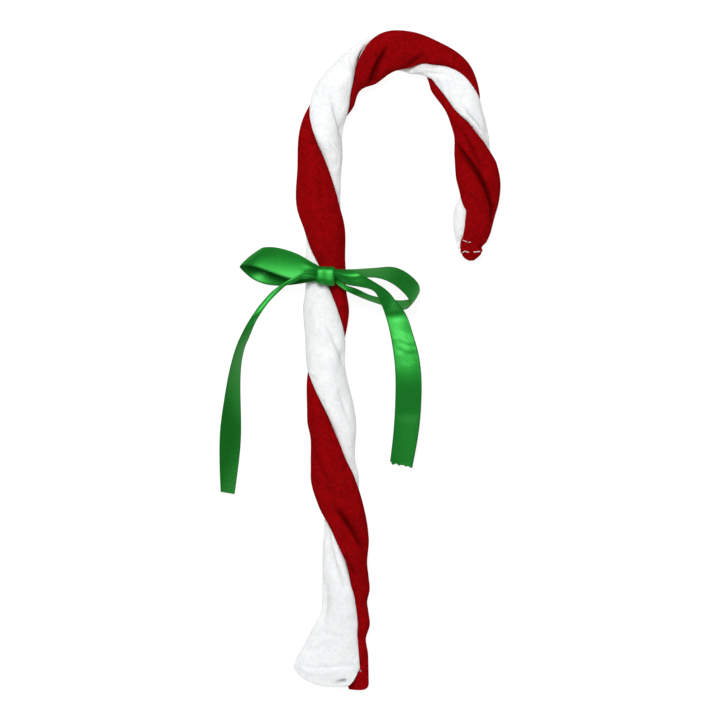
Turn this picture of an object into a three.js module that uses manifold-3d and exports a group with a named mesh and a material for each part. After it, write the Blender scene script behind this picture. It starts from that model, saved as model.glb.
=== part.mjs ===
// A soft toy candy cane: two stuffed felt tubes, one red and one white, twisted together like a
// two-ply rope and bent into a crook, with a green satin ribbon tied round the shaft in a bow.
// It lies on its back: +Y runs from the foot to the top of the crook, +X to the crook's open side,
// +Z up. The origin is below the middle of its outline, on the surface it lies on. Millimetres.

import * as THREE from 'three';
import { mergeVertices } from 'three/addons/utils/BufferGeometryUtils.js';
import Module from 'manifold-3d';

const wasm = await Module();
wasm.setup();

// ---------------------------------------------------------------- driving dimensions

const airGap = 0.3; // air between the two strands, and between strands and ribbon
const strandStep = 6; // spacing of the cross-sections along the cane
const endSteps = [3, 6, 8.5, 11, 13.5]; // closer cross-sections at both ends, from the end
const leastStep = 1;
const lobePoints = 15; // points on the round side of one strand's cross-section
const grooveDepth = 0.48; // radius at the bottom of the groove, as a share of the full radius
const lobeSquareness = 3.6; // higher makes the lobes flatter and the grooves narrower
const whiteEndsAt = 641; // the white tube ends here, and the red one closes over it as a bulb

const ribbonThickness = 0.8;
const ribbonStep = 4; // spacing of the sections along a ribbon run
const tieAt = 292; // distance from the foot to the middle of the tie, along the cane
const tieRadius = 14.1; // the shaft where the ribbon squeezes it, sideways
const tieHalfHeight = 13.4; // and upwards
const tieCentreHeight = 15.6;
// The ribbon that goes round the shaft, gathered, lies a little towards the foot and askew.
const wrap = { width: 8.9, shift: -1, slope: -0.085 };
const knot = { width: 12.9, length: 12.7, shift: -1.8, bottom: 29.8, top: 38, softEdge: 1.6 };

// The middle line of the cane in plan, from the foot up the shaft and round the crook to the tip.
const middleLine = [
  [-10.5, -231], [-10.5, -199.5], [-10.5, -168], [-10.5, -129.5], [-15, -94.5], [-19.5, -63],
  [-21.5, -28], [-24, 7], [-24, 42], [-24.5, 73.5], [-27.5, 108.5], [-29.5, 136.5],
  [-27.5, 157.5], [-21.5, 176.5], [-14, 191], [-3, 203], [12, 212], [28, 215.5], [45, 213],
  [58, 204.5], [66.5, 192], [72, 178], [76.5, 162.5], [80, 147], [82.5, 131.5], [82.5, 115.5],
  [80, 98], [78.5, 84], [78.5, 69.5],
];

// Each table below is [distance along the middle line, value].

// Reach of the felt on the outer side of the bend: the flared foot, the stuffed shaft, the tip.
const outerReach = [
  [0, 36.4], [9, 36], [16, 34.6], [27, 30.6], [35, 27], [44, 22.4], [52, 18.2], [60, 16],
  [90, 16.2], [102, 15.8], [111, 14.7], [119, 14.4], [131, 16.4], [148, 18], [160, 16.3],
  [177, 14.5], [190, 16.2], [204, 15.9], [226, 16], [246, 14.8], [268, 15.9],
  [tieAt - 8, tieRadius], [tieAt + 8, tieRadius], [312, 14], [323, 15.5], [340, 17.8],
  [370, 14.3], [390, 15.4], [414, 16.3], [437, 13.7], [467, 16.7], [483, 14.7], [497, 13.2],
  [520, 17.1], [536, 15.9], [549, 12.6], [570, 12], [583, 15.7], [595, 16.7], [604, 16],
  [616, 14.1], [629, 12.6], [634, 11.3], [636.5, 10], [638.8, 8], [640.2, 7.1], [642.3, 7.7],
  [644.4, 7.2], [646.5, 5.4], [647.9, 3.6], [649.5, 1.5],
];

// Reach of the felt on the inner side of the bend.
const innerReach = [
  [0, 17], [24, 16.5], [35, 15], [46, 17.7], [55, 16.6], [61.5, 15.7], [71, 17.2], [80, 16.2],
  [89, 15.2], [105, 17.2], [130, 17.8], [148, 17.6], [161, 15.6], [186, 18], [226, 13.5],
  [247, 16.4], [265, 16.8], [tieAt - 8, tieRadius], [tieAt + 8, tieRadius], [325, 16.6],
  [345, 15.9], [358, 16.1], [375, 17.1], [396, 14.9], [416, 16.7], [434, 12.8], [450, 16.3],
  [472, 15.1], [484, 15.2], [497, 13.5], [508, 15.4], [519, 17.6], [545, 12.2], [557, 11.6],
  [573, 14.6], [590, 16.3], [606, 14.6], [617, 15.3], [627, 14], [634, 12], [637.7, 11.4],
  [whiteEndsAt, 10], [642.3, 9.2], [644.4, 7.5], [646.5, 6.3], [647.9, 4.8], [649.5, 2],
];

// Half the height of the cross-section, and the height of its middle above the surface.
const halfHeight = [
  [0, 7.6], [3, 9.2], [25, 10], [50, 12.5], [90, 15.7], [150, 16.5], [268, 16.4],
  [tieAt - 8, tieHalfHeight], [tieAt + 8, tieHalfHeight], [323, 16.5], [420, 16.3], [470, 15.6],
  [520, 15], [560, 14.4], [590, 15.2], [610, 13.8], [628, 10.8], [640, 7.8], [644, 7.4],
  [647, 5.6], [649.5, 2],
];
const middleHeight = [
  [0, 9.1], [25, 9.6], [50, 12], [90, 15.1], [150, 15.8], [268, 15.8], [tieAt, tieCentreHeight],
  [323, 15.8], [420, 15.6], [470, 15], [520, 14.4], [560, 13.9], [590, 14.6], [610, 13.6],
  [628, 12], [640, 10.6], [649.5, 10.2],
];

// The two grooves between the strands wind round the cane. Each angle is measured from straight
// up towards the inner side of the bend, in degrees. Red lies from groove one to groove two.
const grooveOne = [
  [0, 66], [15, 63], [25, 60], [34, 62], [42, 53], [57, 50], [63, 45], [73, 26], [84, 12.5],
  [90, 1], [97, -17.5], [106, -40], [113, -58], [118.5, -77], [124, -98], [182, -180],
  [246, -262], [254.6, -280], [264, -303], [273, -321], [283, -344], [292, -373], [301, -401],
  [308, -425], [315, -446], [325, -458], [367.5, -540], [412, -634], [421, -650],
  [428.2, -660], [434.2, -677], [439.5, -705], [444.4, -733], [451.7, -764], [462, -809],
  [483, -900], [504, -1003], [511, -1018], [520, -1023], [532, -1025.5], [539, -1029.5],
  [544.8, -1045], [552.7, -1081], [563.2, -1125], [573.7, -1173], [600, -1210], [625, -1245],
  [whiteEndsAt, -1330], [645, -1395],
];
const grooveTwo = [
  [0, 165], [12, 172], [30, 186], [50, 183], [70, 172], [136, 99], [145, 84], [157, 66],
  [171.7, 37], [188.6, 0], [202, -34], [208, -49.5], [219, -77.5], [226, -97], [283.5, -180],
  [330, -256], [339, -270], [345, -277], [351, -287], [359, -302], [367, -318.5],
  [375.6, -341], [383.3, -369], [393, -404], [403, -438], [409.5, -454], [439.6, -530],
  [468, -612], [481, -629], [488, -648], [494, -671], [502, -693], [509, -725], [519, -756],
  [537, -796], [570.5, -900], [604, -977], [610, -1005], [617, -1037], [625, -1037],
  [631, -1028], [637, -1000], [whiteEndsAt, -995], [645, -1010],
];
const grooveShare = [
  [0, grooveDepth], [631, grooveDepth], [636, 0.5], [638, 0.56], [whiteEndsAt, 0.72],
  [645, 0.97], [650, 0.99],
];

// The mouths of the tubes. Both corners of a mouth are rounded off, and the white one's inner
// corner is cut back further. The red one ends a little lower.
const whiteFoot = {
  start: 1.5, cornerRise: 12.5, cornerPower: 3.6, bevelRise: 10.5, bevelOver: 9, fadesOver: 42,
};
const redFoot = {
  start: -0.7, cornerRise: 5, cornerPower: 9, bevelRise: 0, bevelOver: 9, fadesOver: 12,
};

// ---------------------------------------------------------------- curves through the stations

// Smooth curve through a table that never overshoots its values (monotone cubic).
function smoothTable(stations) {
  const at = stations.map((station) => station[0]);
  const value = stations.map((station) => station[1]);
  const last = at.length - 1;
  const rise = at.slice(1).map((x, k) => (value[k + 1] - value[k]) / (x - at[k]));
  const slope = value.map((_, k) => {
    if (k === 0) return rise[0];
    if (k === last) return rise[last - 1];
    if (rise[k - 1] * rise[k] <= 0) return 0;
    const before = at[k] - at[k - 1];
    const after = at[k + 1] - at[k];
    const weightBefore = 2 * after + before;
    const weightAfter = after + 2 * before;
    return (weightBefore + weightAfter) / (weightBefore / rise[k - 1] + weightAfter / rise[k]);
  });
  return (x) => {
    let k = 0;
    while (k < last - 1 && x > at[k + 1]) k += 1;
    const span = at[k + 1] - at[k];
    const t = THREE.MathUtils.clamp((x - at[k]) / span, 0, 1);
    return (1 + 2 * t) * (1 - t) ** 2 * value[k] + t * (1 - t) ** 2 * span * slope[k]
      + t * t * (3 - 2 * t) * value[k + 1] + t * t * (t - 1) * span * slope[k + 1];
  };
}

const middle = new THREE.CatmullRomCurve3(
  middleLine.map(([x, y]) => new THREE.Vector3(x, y, 0)), false, 'centripetal',
);
middle.arcLengthDivisions = 2000;
const caneRun = middle.getLength();

const outerAt = smoothTable(outerReach);
const innerAt = smoothTable(innerReach);
const halfHeightAt = smoothTable(halfHeight);
const middleHeightAt = smoothTable(middleHeight);
const grooveOneAt = smoothTable(grooveOne);
const grooveTwoAt = smoothTable(grooveTwo);
const grooveShareAt = smoothTable(grooveShare);

// ---------------------------------------------------------------- the strands

// Point of a cross-section at an angle from straight up, with a share of the full radius.
// Its x runs towards the inner side of the bend and its y upwards.
function sectionPoint(distance, degrees, share) {
  const angle = THREE.MathUtils.degToRad(degrees);
  const side = Math.sin(angle) < 0 ? outerAt(distance) : innerAt(distance);
  return new THREE.Vector2(
    Math.sin(angle) * share * side,
    Math.cos(angle) * share * halfHeightAt(distance),
  );
}

// Closed outline of one strand: a lobe from one groove to the other, and a flat side between
// them, moved back by half the air gap.
function strandSection(distance, fromDegrees, toDegrees) {
  const outline = [];
  const deep = grooveShareAt(distance);
  for (let k = 0; k < lobePoints; k += 1) {
    const across = -1 + (2 * k) / (lobePoints - 1);
    const lobe = Math.sqrt(1 - Math.abs(across) ** lobeSquareness);
    const share = deep + (1 - deep) * lobe;
    const degrees = (fromDegrees + toDegrees) / 2 + (across * (toDegrees - fromDegrees)) / 2;
    outline.push(sectionPoint(distance, degrees, share));
  }
  const first = outline[0];
  const last = outline[lobePoints - 1];
  const back = new THREE.Vector2(first.y - last.y, last.x - first.x).normalize();
  const crown = outline[(lobePoints - 1) / 2];
  if (back.dot(crown.clone().sub(first)) < 0) back.negate();
  first.addScaledVector(back, airGap / 2);
  last.addScaledVector(back, airGap / 2);
  return outline;
}

// Places a cross-section's point in space. Near the foot the corners are drawn up the cane, by
// a power of how far out the point lies, and the inner corner by its bevel too.
function placePoint(distance, point, foot) {
  const out = Math.abs(point.x) / (point.x < 0 ? outerAt(distance) : innerAt(distance));
  const fade = THREE.MathUtils.clamp(1 - (distance - foot.start) / foot.fadesOver, 0, 1);
  const inwards = THREE.MathUtils.clamp((point.x - 0.5) / foot.bevelOver, 0, 1);
  const rise = foot.cornerRise * out ** foot.cornerPower + foot.bevelRise * inwards ** 2.2;
  const along = distance + rise * fade * fade;
  const share = THREE.MathUtils.clamp(along / caneRun, 0, 1);
  const centre = middle.getPointAt(share);
  const heading = middle.getTangentAt(share);
  return new THREE.Vector3(
    centre.x + heading.y * point.x,
    centre.y - heading.x * point.x,
    Math.max(0, middleHeightAt(distance) + point.y),
  );
}

// Where the cross-sections lie, closer together at both ends. Both strands share all of them
// but a strand's own first one, so their flat sides fit.
function stationsBetween(start, end) {
  const closest = endSteps[endSteps.length - 1];
  const inner = caneRun - 2 * closest;
  const steps = Math.round(inner / strandStep);
  const regular = Array.from({ length: steps + 1 }, (_, k) => closest + (inner * k) / steps);
  const nearFoot = endSteps.slice(0, -1);
  const nearTip = nearFoot.map((step) => caneRun - step).reverse();
  const shared = [...nearFoot, ...regular, ...nearTip];
  const inside = (distance) => distance > start && distance < end - leastStep;
  return [start, ...shared.filter(inside), end];
}

// Closed mesh from a row of outlines with the same number of points, capped at both ends.
// flipWall changes the diagonal of the last strip, so that facing strips fit each other.
function skinOutlines(outlines, flipWall = false) {
  const count = outlines[0].length;
  const points = outlines.flat();
  const faces = [];
  for (let row = 0; row + 1 < outlines.length; row += 1) {
    for (let k = 0; k < count; k += 1) {
      const a = row * count + k;
      const b = row * count + ((k + 1) % count);
      if (flipWall && k === count - 1) {
        faces.push(a, b, a + count, b, b + count, a + count);
      } else {
        faces.push(a, b, b + count, a, b + count, a + count);
      }
    }
  }
  const capCentre = (row) => {
    const sum = outlines[row].reduce((total, p) => total.add(p), new THREE.Vector3());
    points.push(sum.divideScalar(count));
    return points.length - 1;
  };
  const startCentre = capCentre(0);
  const endCentre = capCentre(outlines.length - 1);
  const lastRow = (outlines.length - 1) * count;
  for (let k = 0; k < count; k += 1) {
    const next = (k + 1) % count;
    faces.push(startCentre, next, k);
    faces.push(endCentre, lastRow + k, lastRow + next);
  }
  const geometry = new THREE.BufferGeometry();
  const positions = points.flatMap((p) => [p.x, p.y, p.z]);
  geometry.setAttribute('position', new THREE.Float32BufferAttribute(positions, 3));
  geometry.setIndex(faces);
  return geometry;
}

function redStrand() {
  const outlines = stationsBetween(redFoot.start, caneRun).map((distance) => (
    strandSection(distance, grooveOneAt(distance), grooveTwoAt(distance))
      .map((point) => placePoint(distance, point, redFoot))
  ));
  return skinOutlines(outlines);
}

function whiteStrand() {
  const fullTurn = 360;
  const outlines = stationsBetween(whiteFoot.start, whiteEndsAt).map((distance) => (
    strandSection(distance, grooveTwoAt(distance), grooveOneAt(distance) + fullTurn)
      .map((point) => placePoint(distance, point, whiteFoot))
  ));
  return skinOutlines(outlines, true);
}

// ---------------------------------------------------------------- the ribbon

// Each run is a row of stations, and each station holds the two edges of the ribbon there, and
// where the ribbon is folded over, the corner between them.
const leftLoopOut = [
  [[-26.6, 64.4, 34.5], [-26.6, 56.7, 35]], [[-34.3, 68.6, 35.5], [-34.3, 56.7, 38.5]],
  [[-43.4, 73.7, 33.5], [-44.1, 55.7, 39.3]], [[-55.6, 77.7, 31.2], [-55.3, 58.3, 38.2]],
  [[-63, 78.6, 29.3], [-70, 63.7, 35.2]], [[-68.6, 77.9, 27.2], [-79.1, 66.1, 32]],
  [[-70.4, 76, 25], [-83.6, 65.5, 27.5]],
];
const leftLoopBack = [
  [[-70.4, 76, 25], [-83.6, 65.5, 27.5]], [[-67.9, 72.8, 21.5], [-81.9, 62.3, 22]],
  [[-59.5, 69.3, 19.5], [-75.6, 57, 19]], [[-49.7, 67.9, 23], [-64.4, 52.6, 20.5]],
  [[-39.9, 65.8, 29], [-47.6, 52.4, 26]], [[-29.4, 63.7, 33], [-30.8, 55, 32.5]],
];
const leftTail = [
  [[-27, 62.5, 34.5], [-27, 56, 34.5]], [[-31, 62.4, 37.6], [-31, 56.6, 37.6]],
  [[-38.4, 61.3, 39.6], [-38.2, 57.2, 39.3]], [[-46.9, 57, 40.6], [-45.2, 54.1, 39.9]],
  [[-52.6, 53.7, 40.1], [-51.1, 51.9, 39.7]], [[-56.8, 50.8, 39.4], [-55, 48.6, 39.4]],
  [[-60.3, 48.1, 39.1], [-57.9, 45.8, 39.4]], [[-65.8, 42.5, 39.3], [-63.2, 40.2, 39.8]],
  [[-70.4, 37, 39.8], [-67.3, 34.7, 40.3]], [[-74.3, 31.5, 39.7], [-70.8, 29.3, 39.6]],
  [[-78, 25.9, 37.6], [-73.8, 23.8, 35.6]], [[-81, 20.4, 34.2], [-76.2, 18.5, 27.5]],
  [[-85, 12.2, 29.5], [-80, 10.5, 16.5]], [[-91, -7, 22.5], [-83.8, -7, 6]],
  [[-95.2, -29.4, 18.5], [-84, -31.5, 4]], [[-98, -50.4, 15], [-83.8, -53.2, 3]],
  [[-98.4, -68.6, 14.5], [-85, -68.6, 2]], [[-97.5, -92.4, 15], [-88.4, -94.5, 1.2]],
];
// Near the knot the left tail is creased lengthways. This is the part that hangs from its edge.
const leftTailFold = [
  [[-45.2, 54.1, 39.9], [-45.4, 54, 37]], [[-51.1, 51.9, 39.7], [-51.4, 51.9, 31.5]],
  [[-55, 48.6, 39.4], [-55.6, 49, 28.5]], [[-57.9, 45.8, 39.4], [-58.7, 46.4, 27.5]],
  [[-63.2, 40.2, 39.8], [-64, 40.8, 27]], [[-67.3, 34.7, 40.3], [-68.2, 35.3, 27]],
  [[-70.8, 29.3, 39.6], [-71.9, 29.8, 26.5]], [[-73.8, 23.8, 35.6], [-75, 24.2, 24.5]],
  [[-76.2, 18.5, 27.5], [-77, 18.7, 20.5]], [[-80, 10.5, 16.5], [-80.1, 10.6, 15.9]],
];
const rightLoopOut = [
  [[-23.1, 63, 33], [-23.1, 58.1, 35]], [[-14, 63, 31.5], [-13.3, 57.8, 35]],
  [[-5.6, 63.2, 26], [-4.9, 57.4, 35]], [[3.5, 63.8, 22.5], [4.2, 57.4, 37]],
  [[14, 64.6, 22.5], [14.7, 56.4, 38.5]], [[23.1, 64.8, 24], [23.8, 52.2, 37.5]],
  [[30.8, 62, 24], [29.4, 47.6, 36]], [[37.1, 57.4, 22.5], [32.9, 43.8, 35]],
  [[41.3, 51.8, 21], [34.5, 40.6, 34]],
];
const rightLoopBack = [
  [[41.3, 51.8, 21], [34.5, 40.6, 34]], [[41, 46.2, 18.5], [34.3, 37.1, 32.7]],
  [[35.7, 42.7, 16], [29.9, 35, 30]], [[26.6, 41.7, 14.5], [21.7, 36.4, 28]],
  [[15.4, 43.4, 16], [12.6, 39.2, 27.5]], [[5.6, 45.9, 22], [3.5, 42.4, 30]],
  [[-3.5, 50.1, 31.5], [-5.6, 46.2, 33.4]], [[-10.5, 52.5, 33], [-12.6, 49.9, 33.4]],
  [[-18.2, 57.8, 32.2], [-18.2, 54.6, 33]], [[-23.1, 60.2, 32.5], [-23.1, 56.7, 33.5]],
];
const rightTail = [
  [[-23.1, 63.7, 35], [-23.1, 56, 35]],
  [[-15.4, 63, 36], [-16.1, 56.4, 35], [-15.7, 59.8, 40.5]],
  [[-10.2, 62.4, 38], [-10.8, 53.3, 35.5], [-10.5, 58, 42.5]],
  [[-2.1, 60.6, 41], [-4.5, 51.5, 36.5], [-3.2, 56, 42]],
  [[4.2, 57.4, 42.5], [1.8, 50.5, 36]], [[13, 52.2, 42], [10.1, 47.5, 35.5]],
  [[20.5, 46.5, 40.5], [13.7, 41.3, 35.2]], [[25.2, 40.6, 38], [15.8, 36.4, 34]],
  [[30.5, 34.3, 35], [17.5, 31.5, 32.5]], [[36.3, 19.6, 34.5], [20.2, 21.7, 33.2]],
  [[40.6, 4.5, 36.5], [23.1, 5.6, 35.3]], [[42.6, -11.2, 37.6], [24.5, -9.1, 36.9]],
  [[42.7, -28, 33.6], [24.5, -28, 33.1]], [[41.3, -47.6, 26], [23.5, -47.6, 25.6]],
  [[36.7, -74.9, 15.5], [20.9, -72.1, 15.5]],
];

// Turns a closed three.js geometry into a solid that can be joined with others.
function solidOf(geometry) {
  const bare = geometry.clone();
  bare.deleteAttribute('normal');
  bare.deleteAttribute('uv');
  const merged = mergeVertices(bare, 1e-4);
  return new wasm.Manifold(new wasm.Mesh({
    numProp: 3,
    vertProperties: Float32Array.from(merged.attributes.position.array),
    triVerts: Uint32Array.from(merged.index.array),
  }));
}

// A ribbon run as a thin closed strip: both edges and the corner are smooth curves. The strip is
// bent once, at half the way from the straight line between its edges to the corner, and the
// thickness is laid off square to the width and to the direction of the run.
function ribbonStrip(stations) {
  const smooth = (points) => new THREE.CatmullRomCurve3(
    points.map((point) => new THREE.Vector3(...point)), false, 'centripetal',
  );
  const edges = [0, 1].map((side) => smooth(stations.map((station) => station[side])));
  const corner = smooth(stations.map(([one, two, folded]) => (
    folded ?? one.map((value, axis) => (value + two[axis]) / 2)
  )));
  const longest = Math.max(...edges.map((edge) => edge.getLength()));
  const steps = Math.ceil(longest / ribbonStep);
  const outlines = [];
  for (let k = 0; k <= steps; k += 1) {
    const [one, two] = edges.map((edge) => edge.getPoint(k / steps));
    const bend = one.clone().lerp(two, 0.5).lerp(corner.getPoint(k / steps), 0.5);
    const heading = edges[0].getTangent(k / steps).add(edges[1].getTangent(k / steps));
    const off = two.clone().sub(one).cross(heading).setLength(ribbonThickness / 2);
    outlines.push([
      ...[one, bend, two].map((point) => point.clone().add(off)),
      ...[two, bend, one].map((point) => point.clone().sub(off)),
    ]);
  }
  return solidOf(skinOutlines(outlines));
}

// The gathered ribbon round the squeezed shaft, as an oval band with a gap to the felt.
function wrapBand() {
  const centre = middle.getPointAt(tieAt / caneRun);
  const oval = (extra) => {
    const curve = new THREE.EllipseCurve(
      0, 0, tieRadius + extra, tieHalfHeight + extra, 0, 2 * Math.PI,
    );
    return curve.getPoints(36);
  };
  const shape = new THREE.Shape(oval(airGap + ribbonThickness));
  shape.holes.push(new THREE.Path(oval(airGap)));
  const geometry = new THREE.ExtrudeGeometry(shape, { depth: wrap.width, bevelEnabled: false });
  geometry.translate(0, 0, -wrap.width / 2);
  geometry.rotateX(Math.PI / 2);
  geometry.applyMatrix4(new THREE.Matrix4().makeShear(wrap.slope, 0, 0, 0, 0, 0));
  geometry.translate(centre.x, centre.y + wrap.shift, tieCentreHeight);
  return solidOf(geometry);
}

// The knot: the ribbon's crossing turn, drawn tight over the gathered loops and tails.
function knotBlock() {
  const centre = middle.getPointAt(tieAt / caneRun);
  const height = knot.top - knot.bottom;
  const edge = knot.softEdge;
  const halfLength = knot.length / 2 - edge;
  const halfTall = height / 2 - edge;
  const shape = new THREE.Shape();
  shape.moveTo(-halfLength + edge, -halfTall);
  shape.absarc(halfLength - edge, -halfTall + edge, edge, -Math.PI / 2, 0);
  shape.absarc(halfLength - edge, halfTall - edge, edge, 0, Math.PI / 2);
  shape.absarc(-halfLength + edge, halfTall - edge, edge, Math.PI / 2, Math.PI);
  shape.absarc(-halfLength + edge, -halfTall + edge, edge, Math.PI, Math.PI * 1.5);
  const geometry = new THREE.ExtrudeGeometry(shape, {
    depth: knot.width - 2 * edge,
    bevelThickness: edge,
    bevelSize: edge,
    bevelSegments: 2,
    curveSegments: 4,
  });
  geometry.translate(0, 0, -knot.width / 2 + edge);
  geometry.rotateX(Math.PI / 2);
  geometry.rotateZ(Math.PI / 2);
  geometry.translate(centre.x, centre.y + knot.shift, (knot.top + knot.bottom) / 2);
  return solidOf(geometry);
}

function ribbonBow() {
  const leftRuns = [leftLoopOut, leftLoopBack, leftTail, leftTailFold];
  const rightRuns = [rightLoopOut, rightLoopBack, rightTail];
  let bow = wrapBand().add(knotBlock());
  for (const run of [...leftRuns, ...rightRuns]) {
    bow = bow.add(ribbonStrip(run));
  }
  const mesh = bow.getMesh();
  const geometry = new THREE.BufferGeometry();
  geometry.setAttribute('position', new THREE.BufferAttribute(mesh.vertProperties, 3));
  geometry.setIndex(new THREE.BufferAttribute(mesh.triVerts, 1));
  return geometry;
}

// ---------------------------------------------------------------- the scene graph

const felt = { roughness: 0.95, metalness: 0 };
const redFelt = new THREE.MeshStandardMaterial({ color: 0x8f0a10, ...felt });
const whiteFelt = new THREE.MeshStandardMaterial({ color: 0xf2f2f4, ...felt });
const greenSatin = new THREE.MeshStandardMaterial({
  color: 0x1e7d28, roughness: 0.35, metalness: 0, side: THREE.DoubleSide,
});

function piece(name, geometry, material) {
  const mesh = new THREE.Mesh(geometry, material);
  mesh.name = name;
  return mesh;
}

const candyCane = new THREE.Group();
candyCane.add(piece('red_strand', redStrand(), redFelt));
candyCane.add(piece('white_strand', whiteStrand(), whiteFelt));
candyCane.add(piece('ribbon_bow', ribbonBow(), greenSatin));

export default candyCane;
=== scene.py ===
"""Finished looks of a stuffed felt candy cane with a satin bow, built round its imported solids.

The cane lies on its back. +Y runs from the foot to the top of the crook, +X to the crook's open
side and +Z up. Shapes are worked out in millimetres and put into the meshes in metres.
"""

import math

import bpy
import numpy as np
from bpy.props import FloatProperty, FloatVectorProperty, IntProperty, PointerProperty
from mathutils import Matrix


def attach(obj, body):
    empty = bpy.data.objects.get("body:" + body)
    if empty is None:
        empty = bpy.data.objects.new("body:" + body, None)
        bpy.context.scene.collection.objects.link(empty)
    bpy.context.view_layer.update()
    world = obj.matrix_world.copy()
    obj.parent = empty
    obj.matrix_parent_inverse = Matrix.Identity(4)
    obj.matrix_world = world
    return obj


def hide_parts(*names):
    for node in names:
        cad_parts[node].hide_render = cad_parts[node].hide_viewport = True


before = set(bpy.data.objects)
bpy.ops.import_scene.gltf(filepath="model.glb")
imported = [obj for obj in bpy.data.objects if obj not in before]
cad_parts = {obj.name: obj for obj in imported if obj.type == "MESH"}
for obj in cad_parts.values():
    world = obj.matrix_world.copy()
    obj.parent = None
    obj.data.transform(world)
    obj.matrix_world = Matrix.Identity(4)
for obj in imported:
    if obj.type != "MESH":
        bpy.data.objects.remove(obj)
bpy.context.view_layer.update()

bl_info = {
    "name": "Felt candy cane with satin bow",
    "version": (1, 0, 0),
    "blender": (4, 5, 0),
    "location": "3D View > Sidebar > Candy cane",
    "description": "Builds the felt strands, the stitches, the ribbon bow and the stage",
    "category": "Object",
}

MM = 0.001
FULL_TURN = 360.0

# ------------------------------------------------------------------ driving dimensions, mm

AIR_GAP = 0.3
TIE_AT = 292.0
TIE_RADIUS = 14.1
TIE_HALF_HEIGHT = 13.4
TIE_CENTRE_HEIGHT = 15.6
WHITE_ENDS_AT = 641.0
TIP_LEFT_OVER = 0.2
WHITE_ROUNDING = 2.6
STRAND_GIRTH = 55.0
STUFFING_SPANS = (16.0, 48.0)  # shortest and longest of the stuffing's slow waves
BEVEL_FROM = 0.5
MOUTH_NARROWS = 0.12  # share by which the mouth narrows on its way in

TIP_DENSITY = 2.5
EDGE_CROWDING = 0.6  # how far the points across a strand crowd towards its grooves
BEVEL_POWER = 2.2
CROWN_FADE = 0.35

# Seeds of the random waves.
RED_SEED = 3
WHITE_SEED = 8
CRINKLE_SEED = 5
FRAY_SEED = 11

# The middle line of the cane in plan, from the foot up the shaft and round the crook to the tip.
MIDDLE_LINE = [
    [-10.5, -231], [-10.5, -199.5], [-10.5, -168], [-10.5, -129.5], [-15, -94.5], [-19.5, -63],
    [-21.5, -28], [-24, 7], [-24, 42], [-24.5, 73.5], [-27.5, 108.5], [-29.5, 136.5],
    [-27.5, 157.5], [-21.5, 176.5], [-14, 191], [-3, 203], [12, 212], [28, 215.5], [45, 213],
    [58, 204.5], [66.5, 192], [72, 178], [76.5, 162.5], [80, 147], [82.5, 131.5], [82.5, 115.5],
    [80, 98], [78.5, 84], [78.5, 69.5],
]

# Each table below is [distance along the middle line, value].

# Reach of the felt on the outer side of the bend: the flared foot, the stuffed shaft, the tip.
OUTER_REACH = [
    [0, 36.4], [9, 36], [16, 34.6], [27, 30.6], [35, 27], [44, 22.4], [52, 18.2], [60, 16],
    [90, 16.2], [102, 15.8], [111, 14.7], [119, 14.4], [131, 16.4], [148, 18], [160, 16.3],
    [177, 14.5], [190, 16.2], [204, 15.9], [226, 16], [246, 14.8], [268, 15.9], [284, 14.1],
    [300, 14.1], [312, 14], [323, 15.5], [340, 17.8], [370, 14.3], [390, 15.4], [414, 16.3],
    [437, 13.7], [467, 16.7], [483, 14.7], [497, 13.2], [520, 17.1], [536, 15.9], [549, 12.6],
    [570, 12], [583, 15.7], [595, 16.7], [604, 16], [616, 14.1], [629, 12.6], [634, 11.3],
    [635.8, 10.6], [637.4, 9.4], [638.8, 8], [640.2, 7.1], [642.3, 7.7], [644.4, 7.2],
    [646.5, 5.4], [647.9, 3.6], [648.9, 2.1], [649.6, 0.8],
]

# Reach of the felt on the inner side of the bend.
INNER_REACH = [
    [0, 17], [24, 16.5], [35, 15], [46, 17.7], [55, 16.6], [61.5, 15.7], [71, 17.2],
    [80, 16.2], [89, 15.2], [105, 17.2], [130, 17.8], [148, 17.6], [161, 15.6], [186, 18],
    [226, 13.5], [247, 16.4], [265, 16.8], [284, 14.1], [300, 14.1], [325, 16.6],
    [345, 15.9], [358, 16.1], [375, 17.1], [396, 14.9], [416, 16.7], [434, 12.8], [450, 16.3],
    [472, 15.1], [484, 15.2], [497, 13.5], [508, 15.4], [519, 17.6], [545, 12.2], [557, 11.6],
    [573, 14.6], [590, 16.3], [606, 14.6], [617, 15.3], [627, 14], [634, 12], [637.7, 11.4],
    [639.5, 11], [641, 10], [642.3, 9.2], [644.4, 7.5], [646.5, 6.3], [647.9, 4.8],
    [648.9, 3.1], [649.6, 1.2],
]

# Half the height of the cross-section, and the height of its middle above the surface.
HALF_HEIGHT = [
    [0, 7.6], [3, 9.2], [25, 10], [50, 12.5], [90, 15.7], [150, 16.5], [268, 16.4],
    [284, 13.4], [300, 13.4], [323, 16.5], [420, 16.3], [470, 15.6], [520, 15], [560, 14.4],
    [590, 15.2], [610, 13.8], [628, 10.8], [640, 7.8], [644, 7.4], [647, 5.6], [648.9, 3],
    [649.6, 1.2],
]
MIDDLE_HEIGHT = [
    [0, 9.1], [25, 9.6], [50, 12], [90, 15.1], [150, 15.8], [268, 15.8], [292, 15.6],
    [323, 15.8], [420, 15.6], [470, 15], [520, 14.4], [560, 13.9], [590, 14.6], [610, 13.6],
    [628, 12], [640, 10.6], [649.5, 10.2],
]

# Radius at the bottom of the groove as a share, over the last stretch before the tip.
GROOVE_FADES = [[636, 0.5], [638, 0.56], [641, 0.72], [645, 0.97], [650, 0.99]]

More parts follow.
